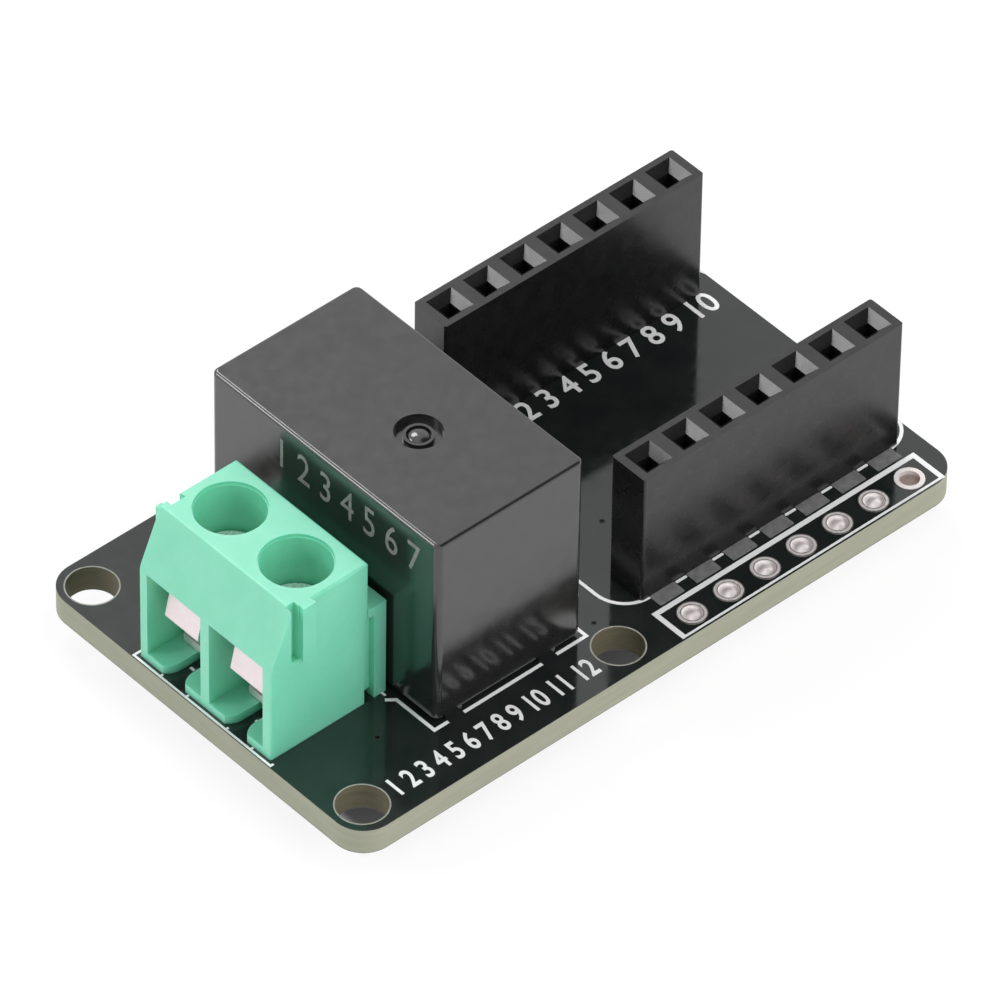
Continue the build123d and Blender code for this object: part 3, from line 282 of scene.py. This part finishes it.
def finish(name, colours, tone, rough, relief, metal=0.0, ior=1.5, stretch=(1, 1, 1), glow=0.0):
    """Finish with two colours, a roughness range and a fine relief.

    tone is the noise scale of the colour; rough is (scale, low, high); relief is (scale, height in mm);
    glow is the share of light that wanders through the plastic before it comes out again."""
    made = bpy.data.materials.new(name)
    made.use_nodes = True
    tree = made.node_tree
    shader = tree.nodes["Principled BSDF"]
    shader.inputs["Metallic"].default_value = metal
    shader.inputs["IOR"].default_value = ior
    if glow:
        shader.inputs["Subsurface Weight"].default_value = glow
        shader.inputs["Subsurface Radius"].default_value = GLOW_REACH
        shader.inputs["Subsurface Scale"].default_value = MM
    shade = mixed(tree, ramp(tree, grain(tree, tone, 3, stretch), NOISE_ENDS, (0, 1)), *colours)
    gloss = ramp(tree, grain(tree, rough[0], 2, stretch), NOISE_ENDS, rough[1:])
    height = grain(tree, relief[0], 3, stretch)
    bump = node(tree, "Bump", {"Strength": 1.0, "Distance": relief[1] * MM}, {"Height": height})
    feeds = {"Base Color": shade, "Roughness": gloss, "Normal": bump.outputs["Normal"]}
    for socket, source in feeds.items():
        tree.links.new(source, shader.inputs[socket])
    return made


def cover(tree, mask, socket, value, kind="RGBA"):
    """Covers what feeds one of the shader's sockets with another value, where a mask is 1."""
    target = tree.nodes["Principled BSDF"].inputs[socket]
    tree.links.new(mixed(tree, mask, target.links[0].from_socket, value, kind), target)


def grey(level):
    """Colour with three equal parts."""
    return (level, level, level)


# %% [markdown]
# ## Plastics and metals
#
# The relay's cap and the socket strips are the same sort of black plastic, but the relay is a touch
# shinier than the strips. The terminal is a pale sea green with a silky skin that light enters a
# little. The tin on pads and clamps is slightly pink, as thin tin over copper is.

# %% Finishes of the pieces
LOOKS = {
    "relay_black": dict(colours=(grey(0.013), grey(0.019)), tone=900, rough=(1500, 0.15, 0.2),
                        relief=(2500, 0.0003), ior=1.77),
    "vent_plastic": dict(colours=(grey(0.012), grey(0.02)), tone=2500, rough=(5000, 0.1, 0.2),
                         relief=(2600, 0.02), ior=1.85),
    "relay_floor": dict(colours=(grey(0.02), grey(0.03)), tone=1500, rough=(3000, 0.5, 0.6),
                        relief=(9000, 0.003)),
    "socket_black": dict(colours=(grey(0.008), grey(0.012)), tone=1200, rough=(900, 0.25, 0.31),
                         relief=(3000, 0.0002), ior=1.54),
    "terminal_green": dict(colours=((0.185, 0.675, 0.462), (0.205, 0.70, 0.487)), tone=700,
                           rough=(2500, 0.36, 0.48), relief=(12000, 0.002), ior=1.9, glow=0.3),
    "tin": dict(colours=((0.76, 0.70, 0.695), (0.92, 0.87, 0.86)), tone=2500, rough=(4000, 0.14, 0.30),
                relief=(5000, 0.004), metal=1.0),
    "clamp_tin": dict(colours=((0.83, 0.725, 0.74), (0.86, 0.755, 0.77)), tone=1500,
                      rough=(5000, 0.38, 0.46), relief=(9000, 0.001), metal=0.7),
    "screw_steel": dict(colours=((0.84, 0.83, 0.83), (0.98, 0.97, 0.97)), tone=3500,
                        rough=(4000, 0.2, 0.4), relief=(3500, 0.016), metal=0.45),
    "iron": dict(colours=(grey(0.45), grey(0.60)), tone=1500, rough=(4000, 0.25, 0.4),
                 relief=(7000, 0.004), metal=1.0),
    "socket_contact": dict(colours=((0.66, 0.58, 0.40), (0.80, 0.72, 0.52)), tone=2000,
                           rough=(5000, 0.2, 0.35), relief=(7000, 0.003), metal=1.0),
    "bobbin_white": dict(colours=((0.72, 0.70, 0.62), (0.80, 0.78, 0.70)), tone=900,
                         rough=(3000, 0.4, 0.55), relief=(9000, 0.003)),
    "copper": dict(colours=((0.50, 0.19, 0.08), (0.68, 0.28, 0.12)), tone=3000, rough=(5000, 0.22, 0.34),
                   relief=(1800, 0.05), metal=1.0, stretch=(0.05, 0.05, 5)),
    "spring_bronze": dict(colours=((0.62, 0.40, 0.20), (0.72, 0.50, 0.28)), tone=2000,
                          rough=(5000, 0.2, 0.35), relief=(7000, 0.003), metal=1.0),
    "contact_silver": dict(colours=(grey(0.78), grey(0.88)), tone=3000, rough=(5000, 0.15, 0.3),
                           relief=(7000, 0.003), metal=1.0),
    "package_black": dict(colours=(grey(0.018), grey(0.028)), tone=2500, rough=(5000, 0.4, 0.55),
                          relief=(14000, 0.004)),
    "chip_dark": dict(colours=(grey(0.015), grey(0.03)), tone=3000, rough=(4000, 0.15, 0.3),
                      relief=(9000, 0.003)),
}
FINISHES = {name: finish(name, **look) for name, look in LOOKS.items()}
print("finishes:", len(FINISHES))

# %% [markdown]
# ## The board's two faces in one finish
#
# A board is glass laminate between two coats of black solder mask. Where it was cut, along its rim
# and inside the mounting holes, the bare laminate shows as layers of olive grey. One material does
# both: height above the ground tells the mask from the cut, since only a cut lies between the faces.
# The walls of the mounting holes are browner than the rim, as drilled laminate is, and much darker:
# that darkness is painted shade inside the holes.

# %% Solder mask and sawn laminate
BOARD_LOW, BOARD_HIGH = (v.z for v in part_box("circuit_board"))
MASK_COAT = 0.03 * MM
HOLE_XS, HOLE_Y, HOLE_RADIUS = (-18.95, -1.55), 10.5, 1.4
WALL_MARGIN = 0.1
LAYER_SCALE, LAYER_STRETCH, LAYER_ENDS = 700, (0.4, 0.4, 5), (0.25, 0.75)
CUT_ROUGHNESS = 0.7


def between(tree, low, high):
    """1 where the Object Z lies between two heights."""
    height = object_axes(tree)["Z"]
    above = reckon(tree, "GREATER_THAN", height, low)
    return reckon(tree, "MULTIPLY", above, reckon(tree, "LESS_THAN", height, high))


def in_holes(tree):
    """1 on the walls of the mounting holes, which mirror each other across the board's long axis."""
    axes = object_axes(tree)
    feeds = {"X": axes["X"], "Y": reckon(tree, "ABSOLUTE", axes["Y"])}
    folded = node(tree, "CombineXYZ", feeds=feeds).outputs[0]
    reaches = []
    for x in HOLE_XS:
        centre = (x * MM, HOLE_Y * MM, 0)
        reach = node(tree, "VectorMath", {1: centre}, {0: folded}, operation="DISTANCE")
        reaches.append(reach.outputs["Value"])
    return reckon(tree, "LESS_THAN", reckon(tree, "MINIMUM", *reaches), (HOLE_RADIUS + WALL_MARGIN) * MM)


def board_finish():
    """Black solder mask on both faces, bare laminate where the board was cut."""
    made = finish("board_mask", ((0.012, 0.0155, 0.015), (0.018, 0.0215, 0.0205)), 500,
                  (1500, 0.07, 0.13), (1600, 0.0008), ior=1.62)
    tree = made.node_tree
    layers = ramp(tree, grain(tree, LAYER_SCALE, 3, LAYER_STRETCH), LAYER_ENDS, (0, 1))
    sawn = mixed(tree, layers, (0.315, 0.325, 0.24), (0.37, 0.375, 0.285))
    # Hole walls: browner drilled laminate, darkened further as painted shade inside the holes.
    drilled_and_shaded = mixed(tree, layers, (0.10, 0.088, 0.05), (0.155, 0.136, 0.08))
    cut = between(tree, BOARD_LOW + MASK_COAT, BOARD_HIGH - MASK_COAT)
    cover(tree, cut, "Base Color", mixed(tree, in_holes(tree), sawn, drilled_and_shaded))
    cover(tree, cut, "Roughness", CUT_ROUGHNESS, "FLOAT")
    return made


FINISHES["board"] = board_finish()
PRINT_WHITE = finish("print_white", ((0.96, 0.965, 0.97), (0.985, 0.985, 0.99)), 3000, (5000, 0.38, 0.5),
                     (12000, 0.003), ior=1.9)
PRINT_GREY = finish("print_grey", (grey(0.19), grey(0.27)), 3500, (6000, 0.4, 0.55), (14000, 0.003))
RIM_LIGHT = finish("rim_light", ((0.28, 0.275, 0.24), (0.40, 0.395, 0.35)), 3000, (5000, 0.4, 0.6),
                   (9000, 0.004))
VIA_HOLE_SHADE = finish("via_hole_shade", (grey(0.002), grey(0.004)), 3000, (4000, 0.6, 0.7), (9000, 0.002), ior=1.3)
VIA_COVER = finish("via_cover", (grey(0.025), grey(0.04)), 3000, (4000, 0.4, 0.5), (9000, 0.002))
THIN_TIN_DEPTH = 0.2 * MM


def pad_finish():
    """Bright tin on the pads, thin and brown with copper down in the holes."""
    made = finish("pad_tin", ((0.90, 0.83, 0.82), (0.97, 0.92, 0.91)), 1800, (3000, 0.24, 0.4),
                  (2600, 0.012), metal=0.35)
    deep = between(made.node_tree, BOARD_LOW + THIN_TIN_DEPTH, BOARD_HIGH - THIN_TIN_DEPTH)
    cover(made.node_tree, deep, "Base Color", (0.60, 0.48, 0.44))
    return made


PAD_TIN = pad_finish()

# %% Dress the CAD nodes
slot_of = {part["node"]: part["material_slot"] for part in frame["record"]["subparts"]}
for name, item in nodes.items():
    item.data.materials.clear()
    item.data.materials.append(FINISHES[slot_of[name]])
for name in ("front_edge_plating", "rear_edge_plating", "front_edge_solder"):
    nodes[name].data.materials[0] = PAD_TIN
print("slots in use:", len(set(slot_of.values())))

# %% [markdown]
# ## Helpers for thin pieces
#
# Print, pads and rims are all flat shapes with a little thickness. Each is drawn as faces in the
# plane of its surface, in millimetres, and then raised by an extrusion. A ring is a disc that is
# inset by the ring's width and loses its middle. A line is one edge, extruded from corner to corner.

# %% Flat shapes
PRINT_HEIGHT = 0.02
TOP = BOARD_HIGH / MM
UNDER = BOARD_LOW / MM
SINK = 0.001
MERGE_REACH = 0.0001


def plate(bm, x, y, radius, segments=2):
    """Rectangle between two X and two Y, its corners rounded."""
    size = Matrix.Diagonal(((x[1] - x[0]) / 2, (y[1] - y[0]) / 2, 1, 1))
    middle = Matrix.Translation((sum(x) / 2, sum(y) / 2, 0))
    made = bmesh.ops.create_grid(bm, x_segments=1, y_segments=1, size=1, matrix=middle @ size)
    bmesh.ops.bevel(bm, geom=made["verts"], offset=radius, offset_type="OFFSET", segments=segments,
                    profile=0.5, affect="VERTICES", material=-1)


def hollow(bm, face, width):
    """Leaves only a band of the given width along a face's border."""
    bmesh.ops.inset_region(bm, faces=[face], thickness=width, use_boundary=True, use_even_offset=True)
    bmesh.ops.delete(bm, geom=[face], context="FACES")


def disc(bm, centre, radius, steps):
    """Round face with the given number of sides; returns it."""
    made = bmesh.ops.create_circle(bm, cap_ends=True, radius=radius, segments=steps,
                                   matrix=Matrix.Translation((*centre, 0)))
    return made["verts"][0].link_faces[0]


def line_sides(path, width):
    """Left and right border points of a line at each of its corners."""
    sides = []
    for i, point in enumerate(path):
        ahead = (path[min(i + 1, len(path) - 1)] - path[min(i, len(path) - 2)]).normalized()
        behind = (path[max(i, 1)] - path[max(i - 1, 0)]).normalized()
        across = Vector((-(ahead + behind).y, (ahead + behind).x)).normalized()
        reach = width / 2 / across.dot(Vector((-ahead.y, ahead.x)))
        sides.append((point + across * reach, point - across * reach))
    return sides


def line(bm, path, width):
    """Line through the points, its corners mitred: an edge extruded from corner to corner."""
    sides = line_sides([Vector(point) for point in path], width)
    edge = bm.edges.new([bm.verts.new((*point, 0)) for point in sides[0]])
    for left, right in sides[1:]:
        start = edge.verts[0]
        made = bmesh.ops.extrude_edge_only(bm, edges=[edge])["geom"]
        edge = next(g for g in made if isinstance(g, bmesh.types.BMEdge) and not g.link_faces[1:]
                    and not set(g.verts) & set(edge.verts))
        for vert in edge.verts:
            mate = next(e.other_vert(vert) for e in vert.link_edges if e is not edge)
            vert.co = (*(left if mate is start else right), 0)


def raise_up(bm, bottom, height):
    """Gives flat faces a thickness, from the bottom level upwards (or down, if negative)."""
    bmesh.ops.translate(bm, verts=bm.verts, vec=(0, 0, bottom))
    made = bmesh.ops.extrude_face_region(bm, geom=bm.faces[:])["geom"]
    top = [part for part in made if isinstance(part, bmesh.types.BMVert)]
    bmesh.ops.translate(bm, verts=top, vec=(0, 0, height))


def piece(bm, name, material, body="module", place=None):
    """Makes a bmesh drawn in millimetres a finished piece that rides on a body."""
    bmesh.ops.recalc_face_normals(bm, faces=bm.faces)
    if place is not None:
        bm.transform(place)
    bm.transform(Matrix.Scale(MM, 4))
    mesh = bpy.data.meshes.new(name)
    bm.to_mesh(mesh)
    bm.free()
    mesh.materials.append(material)
    item = bpy.data.objects.new(name, mesh)
    bpy.context.scene.collection.objects.link(item)
    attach(item, body)
    print(name, len(mesh.polygons), "faces")
    return item


# %% [markdown]
# ## White print on the board
#
# The print shows where each part goes: a frame round the terminal, the relay and the plug-in board,
# and a box round the row of edge pads. It is ink about a fiftieth of a millimetre thick, so it is
# modelled as thin raised bands. The relay's frame has gaps on both short sides.

# %% Print frames
LINE, SIDE_LINE, SLOT_LINE = 0.2, 0.14, 0.16
FRONT_LINE_X, FRONT_LINE = -20.64, 0.13
TICK_X = (-20.58, -20.44)
TICK_YS = (3.17, 1.17, -1.93, -3.84, -5.4)
SLOT_TICK_X, SLOT_TICKS = -19.05, ((2.35, 2.65), (-2.87, -2.44))
MODULE_X, MODULE_Y, MODULE_CORNER = (0.0, 20.95), (-9.0, 9.0), 2.05
PRINT_EDGE_X = 20.72


def print_lines(name, paths):
    """White print from lines, each a path with its width."""
    bm = bmesh.new()
    for path, width in paths:
        line(bm, path, width)
    raise_up(bm, TOP - SINK, PRINT_HEIGHT)
    piece(bm, name, PRINT_WHITE)


terminal_lines = [([(-12.91, -5.4), (-12.91, 5.22)], SIDE_LINE),
                  ([(-20.57, 5.22), (-12.98, 5.22)], SIDE_LINE),
                  ([(FRONT_LINE_X, -5.47), (FRONT_LINE_X, 5.29)], FRONT_LINE)]
terminal_lines += [([(TICK_X[0], y), (TICK_X[1], y)], FRONT_LINE) for y in TICK_YS]
terminal_lines += [([(SLOT_TICK_X, low), (SLOT_TICK_X, high)], SLOT_LINE) for low, high in SLOT_TICKS]
print_lines("terminal_outline", terminal_lines)

relay_lines = [[(-13.14, -5.63), (-12.69, -6.0), (-12.69, -8.92), (-11.75, -8.92)],
               [(-10.69, -8.92), (-5.37, -8.92)],
               [(-4.34, -8.88), (-2.3, -8.88), (-2.3, 8.9), (-4.34, 8.9)],
               [(-5.37, 8.9), (-10.69, 8.9)],
               [(-11.75, 8.9), (-12.69, 8.9), (-12.69, 5.9)]]
print_lines("relay_outline", [(path, LINE) for path in relay_lines])


def corner_arc(x, y, start, end, steps=10):
    """Middle of the line round one corner of the plug-in board's frame, angles in degrees."""
    reach = MODULE_CORNER - LINE / 2
    angles = [math.radians(start + (end - start) * i / steps) for i in range(steps + 1)]
    return [(x + reach * math.cos(a), y + reach * math.sin(a)) for a in angles]


near_x, far_x = MODULE_X[0] + MODULE_CORNER, MODULE_X[1] - MODULE_CORNER
corner_y = MODULE_Y[1] - MODULE_CORNER
bm = bmesh.new()
line(bm, corner_arc(near_x, -corner_y, -90, -180) + corner_arc(near_x, corner_y, 180, 90), LINE)
for side in (-1, 1):
    line(bm, corner_arc(far_x, side * corner_y, side * 90, 0), LINE)
bmesh.ops.bisect_plane(bm, geom=bm.verts[:] + bm.edges[:] + bm.faces[:], plane_co=(PRINT_EDGE_X, 0, 0),
                       plane_no=(1, 0, 0), clear_outer=True)
raise_up(bm, TOP - SINK, PRINT_HEIGHT)
piece(bm, "module_outline", PRINT_WHITE)

# %% [markdown]
# The box round the edge pads has a broad line on three sides. Its fourth side runs along the board's
# very edge and is thinner, so the box is drawn as two lines of different width.

# %% Box round the edge pads
PAD_BOX_X, PAD_BOX_Y = (1.27, 19.65), (-12.3, -9.89)
BOX_LINE, OUTER_LINE = 0.3, 0.14
left, right = PAD_BOX_X[0] + BOX_LINE / 2, PAD_BOX_X[1] - BOX_LINE / 2
inner, outer = PAD_BOX_Y[1] - BOX_LINE / 2, PAD_BOX_Y[0] + OUTER_LINE / 2
three_sides = [(left, PAD_BOX_Y[0]), (left, inner), (right, inner), (right, PAD_BOX_Y[0])]
edge_side = [(PAD_BOX_X[0] + BOX_LINE, outer), (PAD_BOX_X[1] - BOX_LINE, outer)]
print_lines("pad_box", [(three_sides, BOX_LINE), (edge_side, OUTER_LINE)])

# %% [markdown]
# ## Pads beside the socket strips
#
# Each socket has a grey surface pad beside its hole, so that a module without pins can be soldered
# down instead. The pads interrupt the frame's long sides, which are left as dashes between them.

# %% Surface pads and dashes
FIRST_X, PITCH, SOCKET_COUNT = 2.9, 2.54, 7
SOCKET_XS = [FIRST_X + PITCH * i for i in range(SOCKET_COUNT)]
SURFACE_PAD_Y, SURFACE_PAD_HALF = (8.2, 9.75), 0.85
PAD_CORNER, PAD_THICKNESS = 0.06, 0.03
DASH_LENGTH, DASH_WIDTH, DASH_Y = 0.74, 0.16, 8.99
PAD_GREY = finish("pad_grey", ((0.15, 0.152, 0.152), (0.215, 0.215, 0.213)), 2500, (4000, 0.5, 0.65),
                  (9000, 0.003), ior=1.6)

bm = bmesh.new()
for x in SOCKET_XS:
    for side in (-1, 1):
        reach = sorted((side * SURFACE_PAD_Y[0], side * SURFACE_PAD_Y[1]))
        plate(bm, (x - SURFACE_PAD_HALF, x + SURFACE_PAD_HALF), reach, PAD_CORNER)
raise_up(bm, TOP - SINK, PAD_THICKNESS)
piece(bm, "surface_pads", PAD_GREY)

bm = bmesh.new()
for x in SOCKET_XS[:-1]:
    for side in (-1, 1):
        middle = x + PITCH / 2
        plate(bm, (middle - DASH_LENGTH / 2, middle + DASH_LENGTH / 2),
              (side * DASH_Y - DASH_WIDTH / 2, side * DASH_Y + DASH_WIDTH / 2), DASH_WIDTH / 3,
              segments=3)
raise_up(bm, TOP - SINK, PRINT_HEIGHT)
piece(bm, "pad_dashes", PRINT_WHITE)

# %% [markdown]
# ## Rims and vias
#
# A mounting hole is drilled after the mask is on, so a hair of bare laminate shows round its mouth.
# Vias are small plated holes that join the two faces. The mask covers their rims, and their mouths
# are near-black dots: painted shade for the holes going down.

# %% Hole rims and vias
HOLES = [(x, y) for x in HOLE_XS for y in (-HOLE_Y, HOLE_Y)]
RIM_REACH, RIM_WIDTH, RIM_HEIGHT = 0.07, 0.08, 0.008
VIA_RADIUS, VIA_RIM, VIA_RIM_HEIGHT, VIA_MOUTH_HEIGHT = 0.13, 0.05, 0.012, 0.004
VIAS = [(4.0, -3.1), (-1.37, -8.43), (17.9, -9.35), (-15.2, -7.4), (1.0, 6.2)]
HOLE_STEPS, VIA_STEPS = 64, 20


def hole_rims(name, bottom, height):
    """Rims of all mounting holes on one face of the board."""
    bm = bmesh.new()
    for centre in HOLES:
        hollow(bm, disc(bm, centre, HOLE_RADIUS + RIM_REACH, HOLE_STEPS), RIM_WIDTH)
    raise_up(bm, bottom, height)
    piece(bm, name, RIM_LIGHT)


hole_rims("hole_rims_above", TOP - SINK, RIM_HEIGHT)
hole_rims("hole_rims_below", UNDER + SINK, -RIM_HEIGHT)
bm = bmesh.new()
for centre in VIAS:
    hollow(bm, disc(bm, centre, VIA_RADIUS + VIA_RIM, VIA_STEPS), VIA_RIM)
raise_up(bm, TOP - SINK, VIA_RIM_HEIGHT)
piece(bm, "via_rims", VIA_COVER)
# Via mouths: near-black discs, painted shade that stands for the holes going down.
bm = bmesh.new()
for centre in VIAS:
    disc(bm, centre, VIA_RADIUS, VIA_STEPS)
raise_up(bm, TOP - SINK, VIA_MOUTH_HEIGHT)
piece(bm, "via_mouths", VIA_HOLE_SHADE)

# %% [markdown]
# ## Pads of the driver parts
#
# Under the board, each lead of the small parts stands on a tinned pad that is a little larger than
# the lead's foot. The feet are found on the CAD solids: they are the faces that touch the board.

# %% Driver pads
PAD_MARGIN, DRIVER_PAD_HEIGHT = 0.14, 0.012
TOUCH = 0.004


def feet(name):
    """Boxes in X and Y (millimetres) of the faces of a node that lie against the board's underside."""
    found = []
    mesh = nodes[name].data
    for face in mesh.polygons:
        corners = [mesh.vertices[i].co / MM for i in face.vertices]
        if all(abs(c.z - UNDER) < TOUCH for c in corners):
            xs, ys = [c.x for c in corners], [c.y for c in corners]
            found.append([min(xs), max(xs), min(ys), max(ys)])
    return found


def joined(boxes):
    """Boxes of the faces that share a foot, taken together."""
    whole = []
    for box in boxes:
        near = [w for w in whole if w[0] - PAD_MARGIN < box[1] and box[0] < w[1] + PAD_MARGIN
                and w[2] - PAD_MARGIN < box[3] and box[2] < w[3] + PAD_MARGIN]
        for w in near:
            whole.remove(w)
            box = [min(w[0], box[0]), max(w[1], box[1]), min(w[2], box[2]), max(w[3], box[3])]
        whole.append(box)
    return whole


bm = bmesh.new()
for name in ("driver_transistor_leads", "flyback_diode_leads", "chip_end_caps"):
    for left, right, near, far in joined(feet(name)):
        across = (left - PAD_MARGIN, right + PAD_MARGIN)
        plate(bm, across, (near - PAD_MARGIN, far + PAD_MARGIN), PAD_CORNER)
raise_up(bm, UNDER + SINK, -DRIVER_PAD_HEIGHT)
piece(bm, "driver_pads", PAD_TIN)

# %% [markdown]
# ## Flux round the tin, and the bead in the relay's vent
#
# Where the molten tin stopped in each edge hole, a hair of dark flux is left in a ring, and the pad's
# own rim darkens against the mask. On the relay, the vent's nub carries a bead of the same plastic,
# left by the sealing: a low dome, spun from an arc, that catches a spark of light.

# %% Flux rings
FLUX_RINGS = ((0.585, 0.035), (0.785, 0.06))
FLUX_HEIGHT, FLUX_STEPS, FILLED_COUNT = 0.006, 40, 6
FLUX = finish("flux", ((0.05, 0.045, 0.04), (0.12, 0.105, 0.10)), 3000, (4000, 0.3, 0.45), (9000, 0.003))

pad_low, pad_high = (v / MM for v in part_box("front_edge_plating"))
pad_row_y = (pad_low.y + pad_high.y) / 2
bm = bmesh.new()
for x in SOCKET_XS[:FILLED_COUNT]:
    for radius, width in FLUX_RINGS:
        hollow(bm, disc(bm, (x, pad_row_y), radius + width, FLUX_STEPS), width)
raise_up(bm, pad_high.z - SINK, FLUX_HEIGHT)
piece(bm, "flux_rings", FLUX)

# %% Bead on the vent's nub
VENT_Y, VENT_FLOOR = -1.65, 0.45
BEAD_RADIUS, BEAD_FOOT, BEAD_HEIGHT = 0.6, 0.1, 0.34
ARC_STEPS, TURN_STEPS = 8, 40


def bead_profile():
    """Half outline of the bead, from its middle out and then up over the dome."""
    outline = [(0, 0), (BEAD_RADIUS, 0), (BEAD_RADIUS, BEAD_FOOT)]
    for step in range(1, ARC_STEPS + 1):
        angle = math.radians(90 * step / ARC_STEPS)
        dome = (BEAD_HEIGHT - BEAD_FOOT) * math.sin(angle)
        outline.append((BEAD_RADIUS * math.cos(angle), BEAD_FOOT + dome))
    return outline


relay_low, relay_high = (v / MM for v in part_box("relay_cover"))
bead_centre = ((relay_low.x + relay_high.x) / 2, (relay_low.y + relay_high.y) / 2 + VENT_Y)
bm = bmesh.new()
corners = [bm.verts.new((x, 0, z)) for x, z in bead_profile()]
edges = [bm.edges.new(pair) for pair in zip(corners, corners[1:])]
bmesh.ops.spin(bm, geom=corners + edges, cent=(0, 0, 0), axis=(0, 0, 1), angle=math.tau,
               steps=TURN_STEPS, use_merge=True, use_duplicate=False)
bmesh.ops.remove_doubles(bm, verts=bm.verts, dist=MERGE_REACH)
for face in bm.faces:
    face.smooth = True
piece(bm, "vent_bead", FINISHES["vent_plastic"],
      place=Matrix.Translation((*bead_centre, relay_high.z - VENT_FLOOR - SINK)))

# %% [markdown]
# ## Plain numbers
#
# Text becomes geometry in three steps: a text object makes the outlines, its mesh is taken, and the
# mesh is moved to its surface. Only plain counting numbers are used, in the places where the real
# board and relay carry words.

# %% Counting numbers
FIGURE_THICKNESS = 0.018
CURVE_STEPS = 6
FLAT = Matrix.Identity(4)
ON_LEFT_FACE = Matrix.Rotation(math.radians(-90), 4, "Z") @ Matrix.Rotation(math.radians(90), 4, "X")


def number_curve(name, last, size, bold):
    """Text curve with the numbers from 1 to the last one."""
    curve = bpy.data.curves.new(name, "FONT")
    curve.body = " ".join(str(number) for number in range(1, last + 1))
    curve.size, curve.extrude, curve.offset = size, FIGURE_THICKNESS / 2, bold
    curve.align_x, curve.align_y, curve.resolution_u = "CENTER", "CENTER", CURVE_STEPS
    return curve


def numbers(name, last, size, length, bold, place, turn, material):
    """Row of numbers from 1 to the last, of the given length, its middle at a place (millimetres)."""
    curve = number_curve(name, last, size, bold)
    source = bpy.data.objects.new(name + "_text", curve)
    mesh = bpy.data.meshes.new_from_object(source)
    bm = bmesh.new()
    bm.from_mesh(mesh)
    bmesh.ops.remove_doubles(bm, verts=bm.verts, dist=MERGE_REACH)
    assert all(len(edge.link_faces) == 2 for edge in bm.edges), name
    across = [v.co.x for v in bm.verts]
    middle = Matrix.Translation((-(min(across) + max(across)) / 2, 0, 0))
    squeeze = Matrix.Diagonal((length / (max(across) - min(across)), 1, 1, 1))
    bm.transform(squeeze @ middle)
    bpy.data.objects.remove(source)
    bpy.data.curves.remove(curve)
    bpy.data.meshes.remove(mesh)
    piece(bm, name, material, place=Matrix.Translation(place) @ turn)


flat_z = TOP + FIGURE_THICKNESS / 2
relay_face = (relay_low.x - FIGURE_THICKNESS / 2, -2.05, relay_high.z - 2.0)
numbers("front_numbers", 12, 1.8, 13.6, 0.035, (-10.2, -10.75, flat_z), FLAT, PRINT_WHITE)
numbers("middle_numbers", 10, 2.1, 14.8, 0.03, (12.4, 5.55, flat_z), FLAT, PRINT_WHITE)
numbers("relay_numbers", 7, 2.75, 10.7, 0.0, relay_face, ON_LEFT_FACE, PRINT_GREY)
